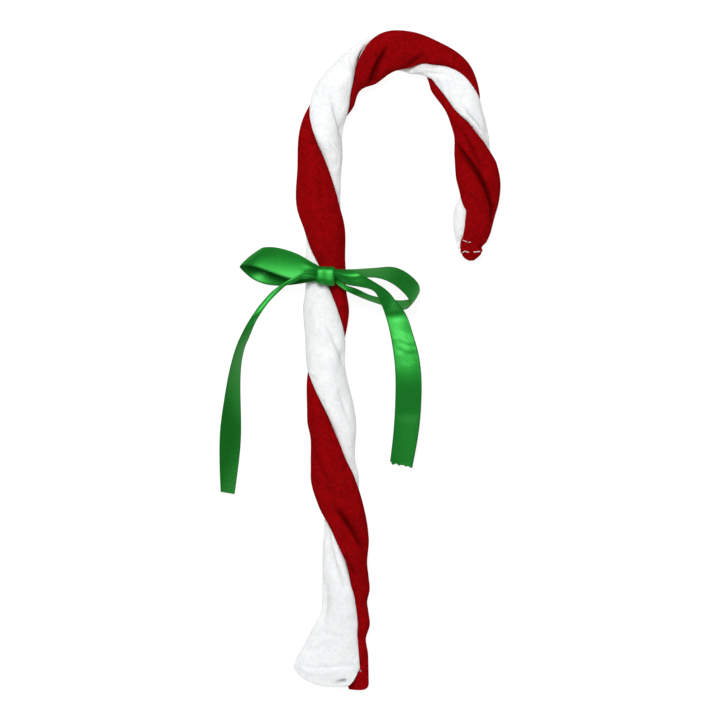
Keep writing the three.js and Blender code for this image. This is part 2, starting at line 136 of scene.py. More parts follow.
# The two grooves between the strands wind round the cane. Each angle is measured from straight
# up towards the inner side of the bend, in degrees. Red lies from groove one to groove two.
GROOVE_ONE = [
    [0, 66], [15, 63], [25, 60], [34, 62], [42, 53], [57, 50], [63, 45], [73, 26], [84, 12.5],
    [90, 1], [97, -17.5], [106, -40], [113, -58], [118.5, -77], [124, -98], [182, -180],
    [246, -262], [254.6, -280], [264, -303], [273, -321], [283, -344], [292, -373],
    [301, -401], [308, -425], [315, -446], [325, -458], [367.5, -540], [412, -634],
    [421, -650], [428.2, -660], [434.2, -677], [439.5, -705], [444.4, -733], [451.7, -764],
    [462, -809], [483, -900], [504, -1003], [511, -1018], [520, -1023], [532, -1025.5],
    [539, -1029.5], [544.8, -1045], [552.7, -1081], [563.2, -1125], [573.7, -1173],
    [600, -1210], [625, -1245], [641, -1330], [645, -1395],
]
GROOVE_TWO = [
    [0, 165], [12, 172], [30, 186], [50, 183], [70, 172], [136, 99], [145, 84], [157, 66],
    [171.7, 37], [188.6, 0], [202, -34], [208, -49.5], [219, -77.5], [226, -97], [283.5, -180],
    [330, -256], [339, -270], [345, -277], [351, -287], [359, -302], [367, -318.5],
    [375.6, -341], [383.3, -369], [393, -404], [403, -438],
    [409.5, -454], [439.6, -530], [468, -612],
    [481, -629], [488, -648], [494, -671], [502, -693], [509, -725], [519, -756],
    [537, -796], [570.5, -900], [604, -977], [610, -1005], [617, -1037], [625, -1037],
    [631, -1028], [637, -1000], [641, -995], [645, -1010],
]


# ------------------------------------------------------------------ curves


def monotone(table, at):
    """Smooth curve through a table that never overshoots its values.

    Cubic Hermite pieces. A slope is the weighted harmonic mean of the rises on its two sides,
    or nought where they differ in sign.
    """
    knots, values = np.array(table, float).T
    gap = np.diff(knots)
    rise = np.diff(values) / gap
    slope = np.concatenate([rise[:1], np.zeros(len(knots) - 2), rise[-1:]])
    before, after = gap[:-1], gap[1:]
    same = rise[:-1] * rise[1:] > 0
    weight_before, weight_after = 2 * after + before, after + 2 * before
    safe_before = np.where(same, rise[:-1], 1.0)
    safe_after = np.where(same, rise[1:], 1.0)
    mean = (weight_before + weight_after) / (
        weight_before / safe_before + weight_after / safe_after
    )
    slope[1:-1] = np.where(same, mean, 0.0)
    k = np.clip(np.searchsorted(knots, at, side="right") - 1, 0, len(gap) - 1)
    t = np.clip((at - knots[k]) / gap[k], 0.0, 1.0)
    return (
        (1 + 2 * t) * (1 - t) ** 2 * values[k]
        + t * (1 - t) ** 2 * gap[k] * slope[k]
        + t * t * (3 - 2 * t) * values[k + 1]
        + t * t * (t - 1) * gap[k] * slope[k + 1]
    )


def natural_spline(knots, values, at):
    """Cubic pieces through every knot whose slope and curvature run on without a break.

    The second derivatives solve the usual three-term equations, with nought at both ends.
    """
    gap = np.diff(knots)
    count = len(knots)
    matrix = np.eye(count)
    inner = np.arange(1, count - 1)
    matrix[inner, inner - 1] = gap[:-1]
    matrix[inner, inner] = 2 * (gap[:-1] + gap[1:])
    matrix[inner, inner + 1] = gap[1:]
    right = np.zeros_like(values)
    rise = np.diff(values, axis=0) / gap[:, None]
    right[1:-1] = 6 * np.diff(rise, axis=0)
    bend = np.linalg.solve(matrix, right)
    k = np.clip(np.searchsorted(knots, at, side="right") - 1, 0, count - 2)
    span = gap[k][:, None]
    to_next = (knots[k + 1] - at)[:, None]
    from_last = (at - knots[k])[:, None]
    return (
        bend[k] * to_next**3 / (6 * span)
        + bend[k + 1] * from_last**3 / (6 * span)
        + (values[k] / span - bend[k] * span / 6) * to_next
        + (values[k + 1] / span - bend[k + 1] * span / 6) * from_last
    )


def chord_length(points):
    """Distance from the first point to each point, along the straight pieces between them."""
    steps = np.linalg.norm(np.diff(points, axis=0), axis=1)
    return np.concatenate([[0.0], np.cumsum(steps)])


def measure_middle_line(samples=20001):
    """Points and headings of the middle line at even steps, with their true distances."""
    knots = np.array(MIDDLE_LINE, float)
    chord = chord_length(knots)
    points = natural_spline(chord, knots, np.linspace(0, chord[-1], samples))
    run = chord_length(points)
    heading = np.gradient(points, run, axis=0)
    heading /= np.linalg.norm(heading, axis=1)[:, None]
    return run, points, heading


LINE_RUN, LINE_POINTS, LINE_HEADING = measure_middle_line()
CANE_RUN = float(LINE_RUN[-1])


def on_middle_line(values, along):
    """The middle line's points or headings at the given distances along it."""
    return np.stack([np.interp(along, LINE_RUN, values[:, i]) for i in range(2)], -1)


def reaches(distance):
    """How far the felt reaches on the outer and on the inner side of the bend, as columns."""
    return monotone(OUTER_REACH, distance)[:, None], monotone(INNER_REACH, distance)[:, None]


def smooth_step(low, high, value):
    """0 below low, 1 above high, and three t squared less two t cubed between them."""
    t = np.clip((value - low) / (high - low), 0.0, 1.0)
    return t * t * (3 - 2 * t)


def normalised(vectors):
    """The vectors at unit length."""
    return vectors / np.maximum(np.linalg.norm(vectors, axis=-1, keepdims=True), 1e-12)


# ------------------------------------------------------------------ meshes


def make_mesh(name, points, faces, uv=None):
    """A smooth-shaded mesh object from points in millimetres and a list of face index arrays."""
    loops = np.concatenate([f.ravel() for f in faces]).astype(np.int32)
    sizes = np.concatenate([np.full(len(f), f.shape[1]) for f in faces])
    starts = np.concatenate([[0], np.cumsum(sizes)[:-1]]).astype(np.int32)
    mesh = bpy.data.meshes.new(name)
    mesh.vertices.add(len(points))
    mesh.vertices.foreach_set("co", (np.asarray(points) * MM).astype(np.float32).ravel())
    mesh.loops.add(len(loops))
    mesh.loops.foreach_set("vertex_index", loops)
    mesh.polygons.add(len(sizes))
    mesh.polygons.foreach_set("loop_start", starts)
    mesh.polygons.foreach_set("use_smooth", np.ones(len(sizes), bool))
    if uv is not None:
        layer = mesh.uv_layers.new(name="cloth_run")
        layer.data.foreach_set("uv", uv[loops].astype(np.float32).ravel())
    mesh.update(calc_edges=True)
    if mesh.validate():
        raise RuntimeError(f"{name} has faulty faces")
    piece = bpy.data.objects.new(name, mesh)
    bpy.context.scene.collection.objects.link(piece)
    return piece


def closed_tube(rings):
    """Points and faces of a skin over a row of closed outlines, with a pole at each end.

    Faces are turned so that the enclosed volume, the sum of the corner products, is positive.
    """
    rows, around, _ = rings.shape
    points = np.concatenate(
        [rings.reshape(-1, 3), rings[0].mean(0)[None], rings[-1].mean(0)[None]]
    )
    row, k = np.meshgrid(np.arange(rows - 1), np.arange(around), indexing="ij")
    here, across = row * around + k, row * around + (k + 1) % around
    quads = np.stack([here, across, across + around, here + around], -1).reshape(-1, 4)
    k = np.arange(around)
    following = (k + 1) % around
    first_pole, last_pole = rows * around, rows * around + 1
    last_row = (rows - 1) * around
    start = np.stack([np.full(around, first_pole), following, k], -1)
    end = np.stack([np.full(around, last_pole), last_row + k, last_row + following], -1)
    caps = np.concatenate([start, end])
    a, b, c, d = (points[quads[:, i]] for i in range(4))
    volume = np.einsum("ij,ij->", a, np.cross(b, c)) + np.einsum("ij,ij->", a, np.cross(c, d))
    if volume < 0:
        quads, caps = quads[:, ::-1], caps[:, ::-1]
    return points, [quads, caps]


def ring_normals(rings):
    """Outward normals of a row of closed outlines, from the grid's two directions."""
    along = np.gradient(rings, axis=0)
    around = np.roll(rings, -1, axis=1) - np.roll(rings, 1, axis=1)
    normal = normalised(np.cross(along, around))
    middle = rings.mean(1, keepdims=True)
    if np.einsum("ijk,ijk->", normal, rings - middle) < 0:
        normal = -normal
    return normal


# ------------------------------------------------------------------ the strands


def lobe_outline(distance, from_degrees, to_degrees, across, settings):
    """One strand's outline at each distance, as (sideways, up) pairs.

    The radius share is the groove's share plus the rest times the square root of one less the
    position across the lobe to a high power, so the lobe is round and the grooves are narrow.
    The flat side between the two grooves follows, moved back by half the air gap.
    """
    groove_table = [[0, settings.groove_depth], [631, settings.groove_depth]]
    deep = monotone(groove_table + GROOVE_FADES, distance)[:, None]
    lobe = np.sqrt(1 - np.abs(across) ** settings.lobe_squareness)
    share = deep + (1 - deep) * lobe
    centre = ((from_degrees + to_degrees) / 2)[:, None]
    half_span = ((to_degrees - from_degrees) / 2)[:, None]
    angle = np.radians(centre + across * half_span)
    outer, inner = reaches(distance)
    tall = monotone(HALF_HEIGHT, distance)[:, None]
    sideways = np.sin(angle) * share * np.where(np.sin(angle) < 0, outer, inner)
    outline = np.stack([sideways, np.cos(angle) * share * tall], -1)
    first, last = outline[:, 0].copy(), outline[:, -1].copy()
    wall = last - first
    back = normalised(np.stack([-wall[:, 1], wall[:, 0]], -1))
    crown = outline[:, outline.shape[1] // 2] - first
    back *= np.sign((back * crown).sum(-1, keepdims=True))
    outline[:, 0] += back * AIR_GAP / 2
    outline[:, -1] += back * AIR_GAP / 2
    part = np.arange(1, settings.wall_points + 1) / (settings.wall_points + 1)
    flat_side = outline[:, -1:] + part[None, :, None] * (outline[:, :1] - outline[:, -1:])
    return np.concatenate([outline, flat_side], 1)


def place_outline(distance, outline, foot):
    """Outlines in space: sideways lies square to the middle line, and up is up.

    Near the foot the corners are drawn up the cane by a power of how far out the point lies.
    The inner corner is drawn up further, by a power of its place. Both fade with the square of
    the distance. Nothing goes below the surface it lies on.
    """
    side, up = outline[..., 0], outline[..., 1]
    outer, inner = reaches(distance)
    out = np.abs(side) / np.where(side < 0, outer, inner)
    fade = np.clip(1 - (distance - foot["start"]) / foot["fades_over"], 0, 1)[:, None]
    into_bevel = np.clip((side - BEVEL_FROM) / foot["bevel_over"], 0, 1)
    bevel = foot["bevel_rise"] * into_bevel ** BEVEL_POWER
    rise = (foot["corner_rise"] * out ** foot["corner_power"] + bevel) * fade**2
    along = np.clip(distance[:, None] + rise, 0, CANE_RUN)
    centre = on_middle_line(LINE_POINTS, along)
    heading = on_middle_line(LINE_HEADING, along)
    height = monotone(MIDDLE_HEIGHT, distance)[:, None] + up
    return np.stack(
        [
            centre[..., 0] + heading[..., 1] * side,
            centre[..., 1] - heading[..., 0] * side,
            np.maximum(height, 0.0),
        ],
        -1,
    )


def row_distances(start, end, settings):
    """Even rows along the strand, closer by TIP_DENSITY over the last stretch before the end."""
    close_from = end - settings.close_rows / MM
    step = settings.row_step / MM
    main = np.linspace(start, close_from, int(round((close_from - start) / step)))
    tip = np.linspace(close_from, end, int(round((end - close_from) / (step / TIP_DENSITY))))
    return np.concatenate([main, tip[1:]])


def nearest_on_line(points, line):
    """Signed distance in plan from each point to a broken line, and the line's strength there.

    For each straight piece the nearest place is the projection held between its ends, and the
    nearest piece of all counts. The sign is positive to the left of the line's direction.
    """
    line = np.array(line, float)
    best = np.full(points.shape[:-1], np.inf)
    signed = np.zeros(points.shape[:-1])
    strength = np.zeros(points.shape[:-1])
    for start, end in zip(line[:-1], line[1:]):
        piece = end[:2] - start[:2]
        offset = points[..., :2] - start[:2]
        t = np.clip((offset @ piece) / (piece @ piece), 0, 1)
        gap = offset - t[..., None] * piece
        distance = np.linalg.norm(gap, axis=-1)
        nearer = distance < best
        side = np.sign(piece[0] * offset[..., 1] - piece[1] * offset[..., 0])
        best = np.where(nearer, distance, best)
        signed = np.where(nearer, side * distance, signed)
        strength = np.where(nearer, start[2] + t * (end[2] - start[2]), strength)
    return signed, strength


def press_creases(rings, normal, creases, settings):
    """Push the felt in along each crease, on the side that faces up, and return painted shade from
    how deep it lies.

    The push falls off with the distance to the power 1.25, or the crease's own power, at one
    rate to the left of the crease and another to the right, so its bottom is sharp. A low ridge
    follows on the left where one is named. The second result is painted shade for the creases:
    the summed push as a share of the deepest, times the crease's own shade where it has one.
    Nothing is pushed in the mouth.
    """
    # Painted shade: darkening of the felt's colour that stands in for the shade in the creases.
    painted_crease_shade = np.zeros(rings.shape[:2])
    row = np.arange(len(rings))[:, None]
    facing = smooth_step(0.0, CROWN_FADE, normal[..., 2])
    facing = facing * smooth_step(settings.lip_rows, 2 * settings.lip_rows, row)
    for crease in creases:
        signed, strength = nearest_on_line(rings, crease["line"])
        width = np.where(signed > 0, crease["left"], crease["right"])
        power = crease.get("power", 1.25)
        dent = np.exp(-((np.abs(signed) / width) ** power)) * strength * facing
        ridge = crease.get("ridge", 0.0) * np.exp(
            -(((signed - 1.9 * crease["left"]) / (0.8 * crease["left"])) ** 2)
        ) * strength * facing
        rings = rings + normal * (ridge - crease["depth"] * dent)[..., None]
        painted_crease_shade += dent * min(1.0, crease["depth"] / DEEPEST_CREASE) * crease.get("shade", 1.0)
    return rings, smooth_step(0.2, 1.0, np.minimum(painted_crease_shade, 1.0)) * np.maximum(painted_crease_shade, 1.0)


def slow_waves(distance, round_share, seed, shortest, longest, count=14):
    """Sum of plane waves over the felt, with seeded directions and phases, about one high."""
    random = np.random.default_rng(seed)
    total = np.zeros(np.broadcast(distance, round_share).shape)
    for _ in range(count):
        length = shortest * (longest / shortest) ** random.random()
        turn = random.random() * math.pi
        phase = random.random() * 2 * math.pi
        way = math.cos(turn) * distance + math.sin(turn) * round_share
        total += np.sin(2 * math.pi * way / length + phase) * (length / longest) ** 0.5
    return total / math.sqrt(count / 2)


def tuck_mouth(rings, lip, settings):
    """Rows that roll the felt in at its open foot.

    The lip is half a circle: the outline shrinks towards its middle by half of one less the
    cosine, and goes out by the sine. Behind it the outline closes to a slit.
    """
    first = rings[0]
    middle = first.mean(0)
    turn = np.linspace(0, math.pi, settings.lip_rows + 1)[1:]
    scale = 1 - lip["inset"] * (1 - np.cos(turn)) / 2
    out = lip["radius"] * np.sin(turn)
    deeper = np.linspace(0, 1, settings.lip_rows + 1)[1:]
    wide = np.concatenate([scale, scale[-1] - MOUTH_NARROWS * deeper])
    tall = np.concatenate([scale, scale[-1] * (1 - lip["closes"] * smooth_step(0, 1, deeper))])
    back = np.concatenate([-out, lip["depth"] * deeper])
    spread = (first - middle)[None] * np.stack([wide, wide, tall], -1)[:, None]
    rows = middle + spread + back[:, None, None] * np.array([0.0, 1.0, 0.0])
    return np.concatenate([rows[::-1], rings])


def round_off(rings, distance, end, length):
    """Draw the last rows in towards their middles along a quarter circle."""
    t = np.clip((distance - (end - length)) / length, 0, 1)
    scale = np.sqrt(np.maximum(1 - t * t, 1e-3))[:, None, None]
    middle = rings.mean(1, keepdims=True)
    return middle + (rings - middle) * scale


def strand_rings(distance, first_groove, second_groove, foot, settings):
    """The strand's outlines in space, with the positions across its lobe."""
    turn = np.linspace(-1, 1, settings.lobe_points)
    across = np.sin(turn * math.pi / 2) * EDGE_CROWDING + turn * (1 - EDGE_CROWDING)
    outline = lobe_outline(distance, first_groove, second_groove, across, settings)
    return place_outline(distance, outline, foot), across


def lobe_weight(across, settings):
    """1 over the lobe's crown, fading to 0 at the grooves and on the flat side."""
    crown = smooth_step(0.0, CROWN_FADE, 1 - np.abs(across))
    return np.concatenate([crown, np.zeros(settings.wall_points)])


DEEPEST_CREASE = 4.5

# Creases of the felt in plan: [x, y, strength] along each, and how deep and wide each is. "left"
# and "right" are the widths of its two sides, seen along its run. "shade" scales the painted shade
# that darkens the felt's colour in the crease.
RED_CREASES = [
    {"line": [[19, 221, 0], [18.3, 218.5, 0.5], [16, 213.5, 0.9], [13.6, 208.3, 1],
              [11, 200.5, 1], [8.9, 194, 0.8], [7.3, 188.5, 0.5]],
     "depth": 4.8, "left": 2.5, "right": 2.2, "ridge": 0.5, "shade": 1.2},
    {"line": [[0.7, 201.6, 0], [1.8, 197.4, 1], [-0.3, 191.8, 0]],
     "depth": 1.5, "left": 1.6, "right": 1.4},
    {"line": [[48, 216, 0], [44, 212.5, 0.8], [39.5, 208, 1], [35, 204.3, 0.9],
              [30.5, 201.3, 0.4]],
     "depth": 2.7, "left": 3.4, "right": 2.6},
    {"line": [[56, 214.9, 0], [51.1, 212.8, 1], [47.6, 209.6, 0.6], [44.8, 207.9, 0]],
     "depth": 1.5, "left": 2.2, "right": 1.6},
    {"line": [[66.5, 161, 0.4], [71.4, 156.5, 0.9], [75.5, 151.5, 1], [79.6, 145.5, 0.9],
              [82.7, 138.5, 0.7], [85, 131.5, 0.4], [86.7, 126, 0]],
     "depth": 3.3, "left": 4.2, "right": 2.4},
    {"line": [[67.5, 149.5, 0.5], [69.8, 146, 0.8], [76, 138.4, 1], [82, 130.8, 1],
              [87.3, 122.5, 1], [91, 114.7, 0.9], [93.8, 106, 0.8], [93.6, 99, 0.6],
              [91.8, 92, 0]],
     "depth": 4.4, "left": 1.5, "right": 3.0, "ridge": 0.9, "shade": 1.35},
    {"line": [[91.7, 131.6, 0], [93.8, 124.6, 1], [94.8, 114.8, 1], [93.8, 105, 0]],
     "depth": 1.2, "left": 1.5, "right": 1.5},
    {"line": [[-35.7, -56, 0], [-32.9, -65.8, 1], [-28.7, -74.2, 1], [-24.3, -81.9, 1],
              [-20, -92.7, 0.7], [-17.1, -103.5, 0]],
     "depth": 2.1, "left": 2.6, "right": 3.4, "ridge": 0.5},
    {"line": [[-18.2, -100.1, 0], [-14.5, -106, 0.9], [-9.4, -112.2, 1], [-4.3, -118.9, 1],
              [0.3, -126.6, 0.9], [3.5, -132.3, 0.4], [5.6, -135.8, 0]],
     "depth": 4.6, "left": 3.8, "right": 2.0, "ridge": 0.7},
    {"line": [[-11, -139.6, 1], [-8.8, -143.8, 1], [-5.6, -148, 0.9], [-1.2, -152.2, 0]],
     "depth": 3.3, "left": 1.7, "right": 1.5, "shade": 1.5},
]
WHITE_CREASES = [
    {"line": [[-23.1, 196, 0], [-22.1, 190.4, 0.5], [-19.7, 181.6, 0.8], [-16.7, 170.8, 1],
              [-13.3, 161, 1], [-12.2, 155.4, 0.6]],
     "depth": 2.8, "left": 3.4, "right": 1.4, "ridge": 0.4},
    {"line": [[8, 224.5, 0.3], [5, 219.5, 0.9], [2.2, 214.5, 1], [0.8, 209.5, 1],
              [0.3, 205, 0.5], [-0.3, 200, 0]],
     "depth": 3.0, "left": 1.9, "right": 1.7},
    {"line": [[68.6, 177.1, 0], [74.7, 172.7, 0.8], [79.3, 168, 1], [85.2, 162.2, 1],
              [88.7, 157.5, 0.8], [90.3, 154, 0.4]],
     "depth": 3.4, "left": 2.8, "right": 1.2, "ridge": 0.5},
    {"line": [[44.8, 201.6, 0], [49, 199.5, 0.8], [56.7, 198.8, 1], [65.1, 197.8, 0.6],
              [71.4, 194.6, 0]],
     "depth": 1.8, "left": 2.4, "right": 1.5},
    {"line": [[-23.8, 26.6, 0], [-22.2, 22.8, 0.5], [-17.8, 13.6, 0.9], [-13.6, 5, 1],
              [-10.8, -2.1, 0.9]],
     "depth": 2.5, "left": 3.4, "right": 1.5, "ridge": 0.4},
    {"line": [[-14, -18.2, 0], [-12.6, -25.9, 1], [-9.8, -34.3, 1], [-6.3, -44.1, 0.6],
              [-4.2, -51.8, 0]],
     "depth": 1.7, "left": 3.8, "right": 2.6},
    {"line": [[-23.2, -117.9, 0.8], [-21, -127.5, 1], [-17.6, -141.5, 1], [-14.4, -149.5, 1],
              [-11.4, -156.5, 0.7], [-7.4, -163, 0]],
     "depth": 3.1, "left": 2.2, "right": 3.2, "ridge": 0.5},
    {"line": [[-24.3, -148, 0], [-24.6, -158, 0.7], [-25.2, -168, 1], [-25.8, -181, 1],
              [-26.2, -194, 0.7], [-26.3, -206, 0]],
     "depth": 3.0, "left": 7.5, "right": 2.8, "power": 1.5, "shade": 0.7},
    {"line": [[-35.3, -196, 0], [-36, -201.6, 1], [-36.4, -206.5, 0]],
     "depth": 1.1, "left": 1.4, "right": 1.4},
    {"line": [[-41.3, -214.2, 0.5], [-34.3, -215.2, 1], [-18.9, -214.9, 1], [-9.1, -214.4, 1],
              [-2.1, -213.8, 0.9]],
     "depth": 1.3, "left": 1.0, "right": 1.4},
    {"line": [[-20.5, -227.2, 0], [-17.6, -226.2, 0.3], [-14.6, -225, 0.75],
              [-12.2, -224.2, 1], [-10.4, -224.4, 0.9], [-8.8, -225, 0]],
     "depth": 3.6, "left": 1.0, "right": 0.9, "shade": 3.6},
]

RED_FOOT = {
    "start": -0.7, "corner_rise": 5.0, "corner_power": 9.0, "bevel_rise": 0.0,
    "bevel_over": 9.0, "fades_over": 12.0,
}
WHITE_FOOT = {
    "start": 1.5, "corner_rise": 12.5, "corner_power": 3.6, "bevel_rise": 10.5,
    "bevel_over": 9.0, "fades_over": 42.0,
}
RED_LIP = {"radius": 3.2, "inset": 0.26, "depth": 4.0, "closes": 0.85}
WHITE_LIP = {"radius": 2.8, "inset": 0.30, "depth": 5.0, "closes": 0.9}


def pucker_neck(rings, distance, neck):
    """Gathers where the felt is drawn together: ridges that fade away from the neck.

    The push along the normal is the cosine of the position round the ring times the number of
    gathers, times a bell curve of the distance from the neck.
    """
    share = np.linspace(0, 1, rings.shape[1], endpoint=False)[None, :]
    bell = np.exp(-(((distance - neck["at"]) / neck["fades_over"]) ** 2))[:, None]
    wave = np.cos(2 * math.pi * neck["gathers"] * share + 0.6 * np.sin(7 * share))
    push = neck["depth"] * bell * (wave - 1) / 2
    return rings + ring_normals(rings) * push[..., None]


RED_NECK = {"at": 640.5, "fades_over": 7.0, "gathers": 9, "depth": 1.1}

# Each strand lies between two grooves. The white strand's second groove is turned on by a whole
# turn, so that its angle is larger than the first one's. The red tube runs from its tucked foot to
# the gathered bulb at the tip, and the white one from its flared foot to where the red one closes
# over it.
RED_STRAND = {
    "grooves": (GROOVE_ONE, GROOVE_TWO), "turned_on": 0.0, "ends_at": CANE_RUN - TIP_LEFT_OVER,
    "foot": RED_FOOT, "lip": RED_LIP, "creases": RED_CREASES, "seed": RED_SEED, "neck": RED_NECK,
}
WHITE_STRAND = {
    "grooves": (GROOVE_TWO, GROOVE_ONE), "turned_on": FULL_TURN, "ends_at": WHITE_ENDS_AT,
    "foot": WHITE_FOOT, "lip": WHITE_LIP, "creases": WHITE_CREASES, "seed": WHITE_SEED,
    "rounding": WHITE_ROUNDING,
}


def build_strand(strand, settings):
    """A strand's closed skin, and the painted shade of each point from how deep it lies in a
    crease.
    """
    start = strand["foot"]["start"] + strand["lip"]["radius"]
    distance = row_distances(start, strand["ends_at"], settings)
    first, second = (monotone(groove, distance) for groove in strand["grooves"])
    rings, across = strand_rings(
        distance, first, second + strand["turned_on"], strand["foot"], settings
    )
    if "rounding" in strand:
        rings = round_off(rings, distance, strand["ends_at"], strand["rounding"])
    normal = ring_normals(tuck_mouth(rings, strand["lip"], settings))
    rings = settle_felt(rings, distance, across, strand["seed"], settings)
    if "neck" in strand:
        rings = pucker_neck(rings, distance, strand["neck"])
    rings = tuck_mouth(rings, strand["lip"], settings)
    rings, painted_crease_shade = press_creases(rings, normal, strand["creases"], settings)
    rings[..., 2] = np.maximum(rings[..., 2], 0.0)
    return closed_tube(rings), painted_crease_shade


def settle_felt(rings, distance, across, seed, settings):
    """Uneven stuffing, over the crown of the lobe only.

    Slow waves along the normal, and what the cloth simulation leaves in relief. Both fade
    where the felt stands upright, so the cane keeps its outline in plan.
    """
    upright = smooth_step(0.15, 0.75, np.abs(ring_normals(rings)[..., 2]))
    weight = lobe_weight(across, settings)[None, :] * upright
    round_share = np.linspace(0, STRAND_GIRTH, rings.shape[1])[None, :]
    waves = slow_waves(distance[:, None], round_share, seed, *STUFFING_SPANS)
    push = settings.stuffing_waves / MM * waves * weight
    push = push + simulated_relief(rings, across, settings) * weight
    return rings + ring_normals(rings) * push[..., None]


def simulated_relief(rings, across, settings):
    """Relief in millimetres that a blown-up copy of the felt takes on, held at the grooves.

    A coarse copy of the strand is a little too large for itself and is filled by pressure, so
    it buckles. What is kept is each point's move along its normal, less the average of the
    move along the cane, limited by a hyperbolic tangent and spread over the fine rows by
    splines.
    """
    lobe = len(across)
    rows = np.arange(0, len(rings), settings.coarse_rows)
    rows[-1] = len(rings) - 1
    picks = np.arange(0, lobe, settings.coarse_across)
    wall = lobe + np.arange(1, settings.wall_points, 2)
    coarse = rings[rows][:, np.concatenate([picks, wall])]
    points, faces = closed_tube(coarse)
    held = np.ones(coarse.shape[:2])
    held[2:-2, : len(picks)] = np.abs(across[picks]) > settings.held_from
    held = np.concatenate([held.ravel(), [1.0, 1.0]])
    settled = blow_up_cloth(points, faces, held > 0.5, settings).reshape(-1, 3)
    settled = settled[: coarse.shape[0] * coarse.shape[1]].reshape(coarse.shape)
    move = ((settled - coarse) * ring_normals(coarse)).sum(-1)[:, : len(picks)]
    reach = int(settings.relief_span / (settings.row_step * settings.coarse_rows))
    bell = np.exp(-((np.arange(-2 * reach, 2 * reach + 1) / reach) ** 2))
    ends = [(2 * reach, 2 * reach), (0, 0)]
    padded = np.pad(move, ends, mode="edge")
    average = np.stack(
        [np.convolve(padded[:, k], bell / bell.sum(), mode="valid") for k in range(len(picks))],
        -1,
    )
    cap = settings.relief_cap / MM
    relief = cap * np.tanh((move - average) / cap)
    relief = natural_spline(rows.astype(float), relief, np.arange(len(rings)))
    relief = natural_spline(picks.astype(float), relief.T, np.arange(lobe)).T
    return np.concatenate([relief, np.zeros((len(rings), settings.wall_points))], 1)


FELT_CLOTH = {
    "quality": 8, "mass": 0.1, "tension_stiffness": 15, "compression_stiffness": 15,
    "shear_stiffness": 5,
}
CLOTH_FRAMES = 20


def blow_up_cloth(points, faces, held, settings):
    """Positions of a closed cloth after CLOTH_FRAMES frames of pressure without gravity."""
    copy = make_mesh("cloth_copy", points, faces)
    pins = copy.vertex_groups.new(name="held")
    pins.add(np.nonzero(held)[0].tolist(), 1.0, "REPLACE")
    cloth = copy.modifiers.new("Cloth", "CLOTH")
    for key, value in FELT_CLOTH.items():
        setattr(cloth.settings, key, value)
    cloth.settings.bending_stiffness = settings.felt_bending
    cloth.settings.shrink_min = -settings.felt_excess
    cloth.settings.vertex_group_mass = pins.name
    cloth.settings.use_pressure = True
    cloth.settings.uniform_pressure_force = settings.felt_pressure
    cloth.settings.effector_weights.gravity = 0.0
    cloth.point_cache.frame_start = 1
    cloth.point_cache.frame_end = CLOTH_FRAMES
    for frame_number in range(1, CLOTH_FRAMES + 1):
        bpy.context.scene.frame_set(frame_number)
    shown = copy.evaluated_get(bpy.context.evaluated_depsgraph_get())
    settled = np.empty(len(shown.data.vertices) * 3)
    shown.data.vertices.foreach_get("co", settled)
    mesh = copy.data
    bpy.data.objects.remove(copy)
    bpy.data.meshes.remove(mesh)
    bpy.context.scene.frame_set(1)
    return settled / MM


# ------------------------------------------------------------------ the stitches

# Each stitch is a row of places in plan, lifted in its middle and sunk at its ends.
STITCHES = [
    {"line": [[72, 83.8], [73.4, 83.2], [74.6, 82.6]], "radius": 0.25, "lift": 0.3},
    {"line": [[75.4, 82.4], [76.6, 82.3], [77.7, 82.5]], "radius": 0.19, "lift": 0.15},
    {"line": [[71.4, 75.1], [72.6, 75.7], [73.8, 76.2]], "radius": 0.3, "lift": 0.35},
    {"line": [[73.6, 76.2], [74.9, 75.6], [76.3, 75.3]], "radius": 0.24, "lift": 0.25},
    {"line": [[79.5, 75.5], [81.6, 75.7], [83.9, 76]], "radius": 0.37, "lift": 0.35},
    {"line": [[-1.4, -216.3], [-0.6, -217.2], [0, -218.2]], "radius": 0.16, "lift": 0.4},
    {"line": [[-0.4, -217.4], [0.4, -217.6], [0.8, -218.8]], "radius": 0.16, "lift": 0.5},
]


def lay_thread(piece, stitch):
    """A smooth path along the stitch on the upper side of the piece.

    The height at each place is that of the highest corner nearby, plus a lift that falls to
    a little below the felt at both ends by the square of the distance from the middle.
    """
    line = np.array(stitch["line"], float)
    chord = chord_length(line)
    plan = natural_spline(chord, line, np.linspace(0, chord[-1], 11))
    corners = np.empty(len(piece.data.vertices) * 3, np.float32)
    piece.data.vertices.foreach_get("co", corners)
    corners = corners.reshape(-1, 3) / MM
    near = [np.linalg.norm(corners[:, :2] - place, axis=1) < 0.8 for place in plan]
    top = np.array([corners[close, 2].max() for close in near])
    top = np.convolve(np.pad(top, 2, mode="edge"), np.full(5, 0.2), mode="valid")
    from_middle = np.linspace(-1, 1, len(plan)) ** 2
    return np.column_stack([plan, top + stitch["lift"] - (stitch["lift"] + 0.3) * from_middle])


def thread_tubes(paths, radii):
    """Round closed tubes about the paths, as one list of points and faces."""
    points, faces, offset = [], [], 0
    turn = np.linspace(0, 2 * math.pi, 10, endpoint=False)[None, :, None]
    for path, radius in zip(paths, radii):
        tangent = normalised(np.gradient(path, axis=0))
        side = normalised(np.cross(tangent, [0.0, 0.0, 1.0]))[:, None]
        up = np.cross(side, tangent[:, None])
        rings = path[:, None] + radius * (np.cos(turn) * side + np.sin(turn) * up)
        tube, tube_faces = closed_tube(rings)
        points.append(tube)
        faces += [part + offset for part in tube_faces]
        offset += len(tube)
    return np.concatenate(points), faces


# ------------------------------------------------------------------ the ribbon

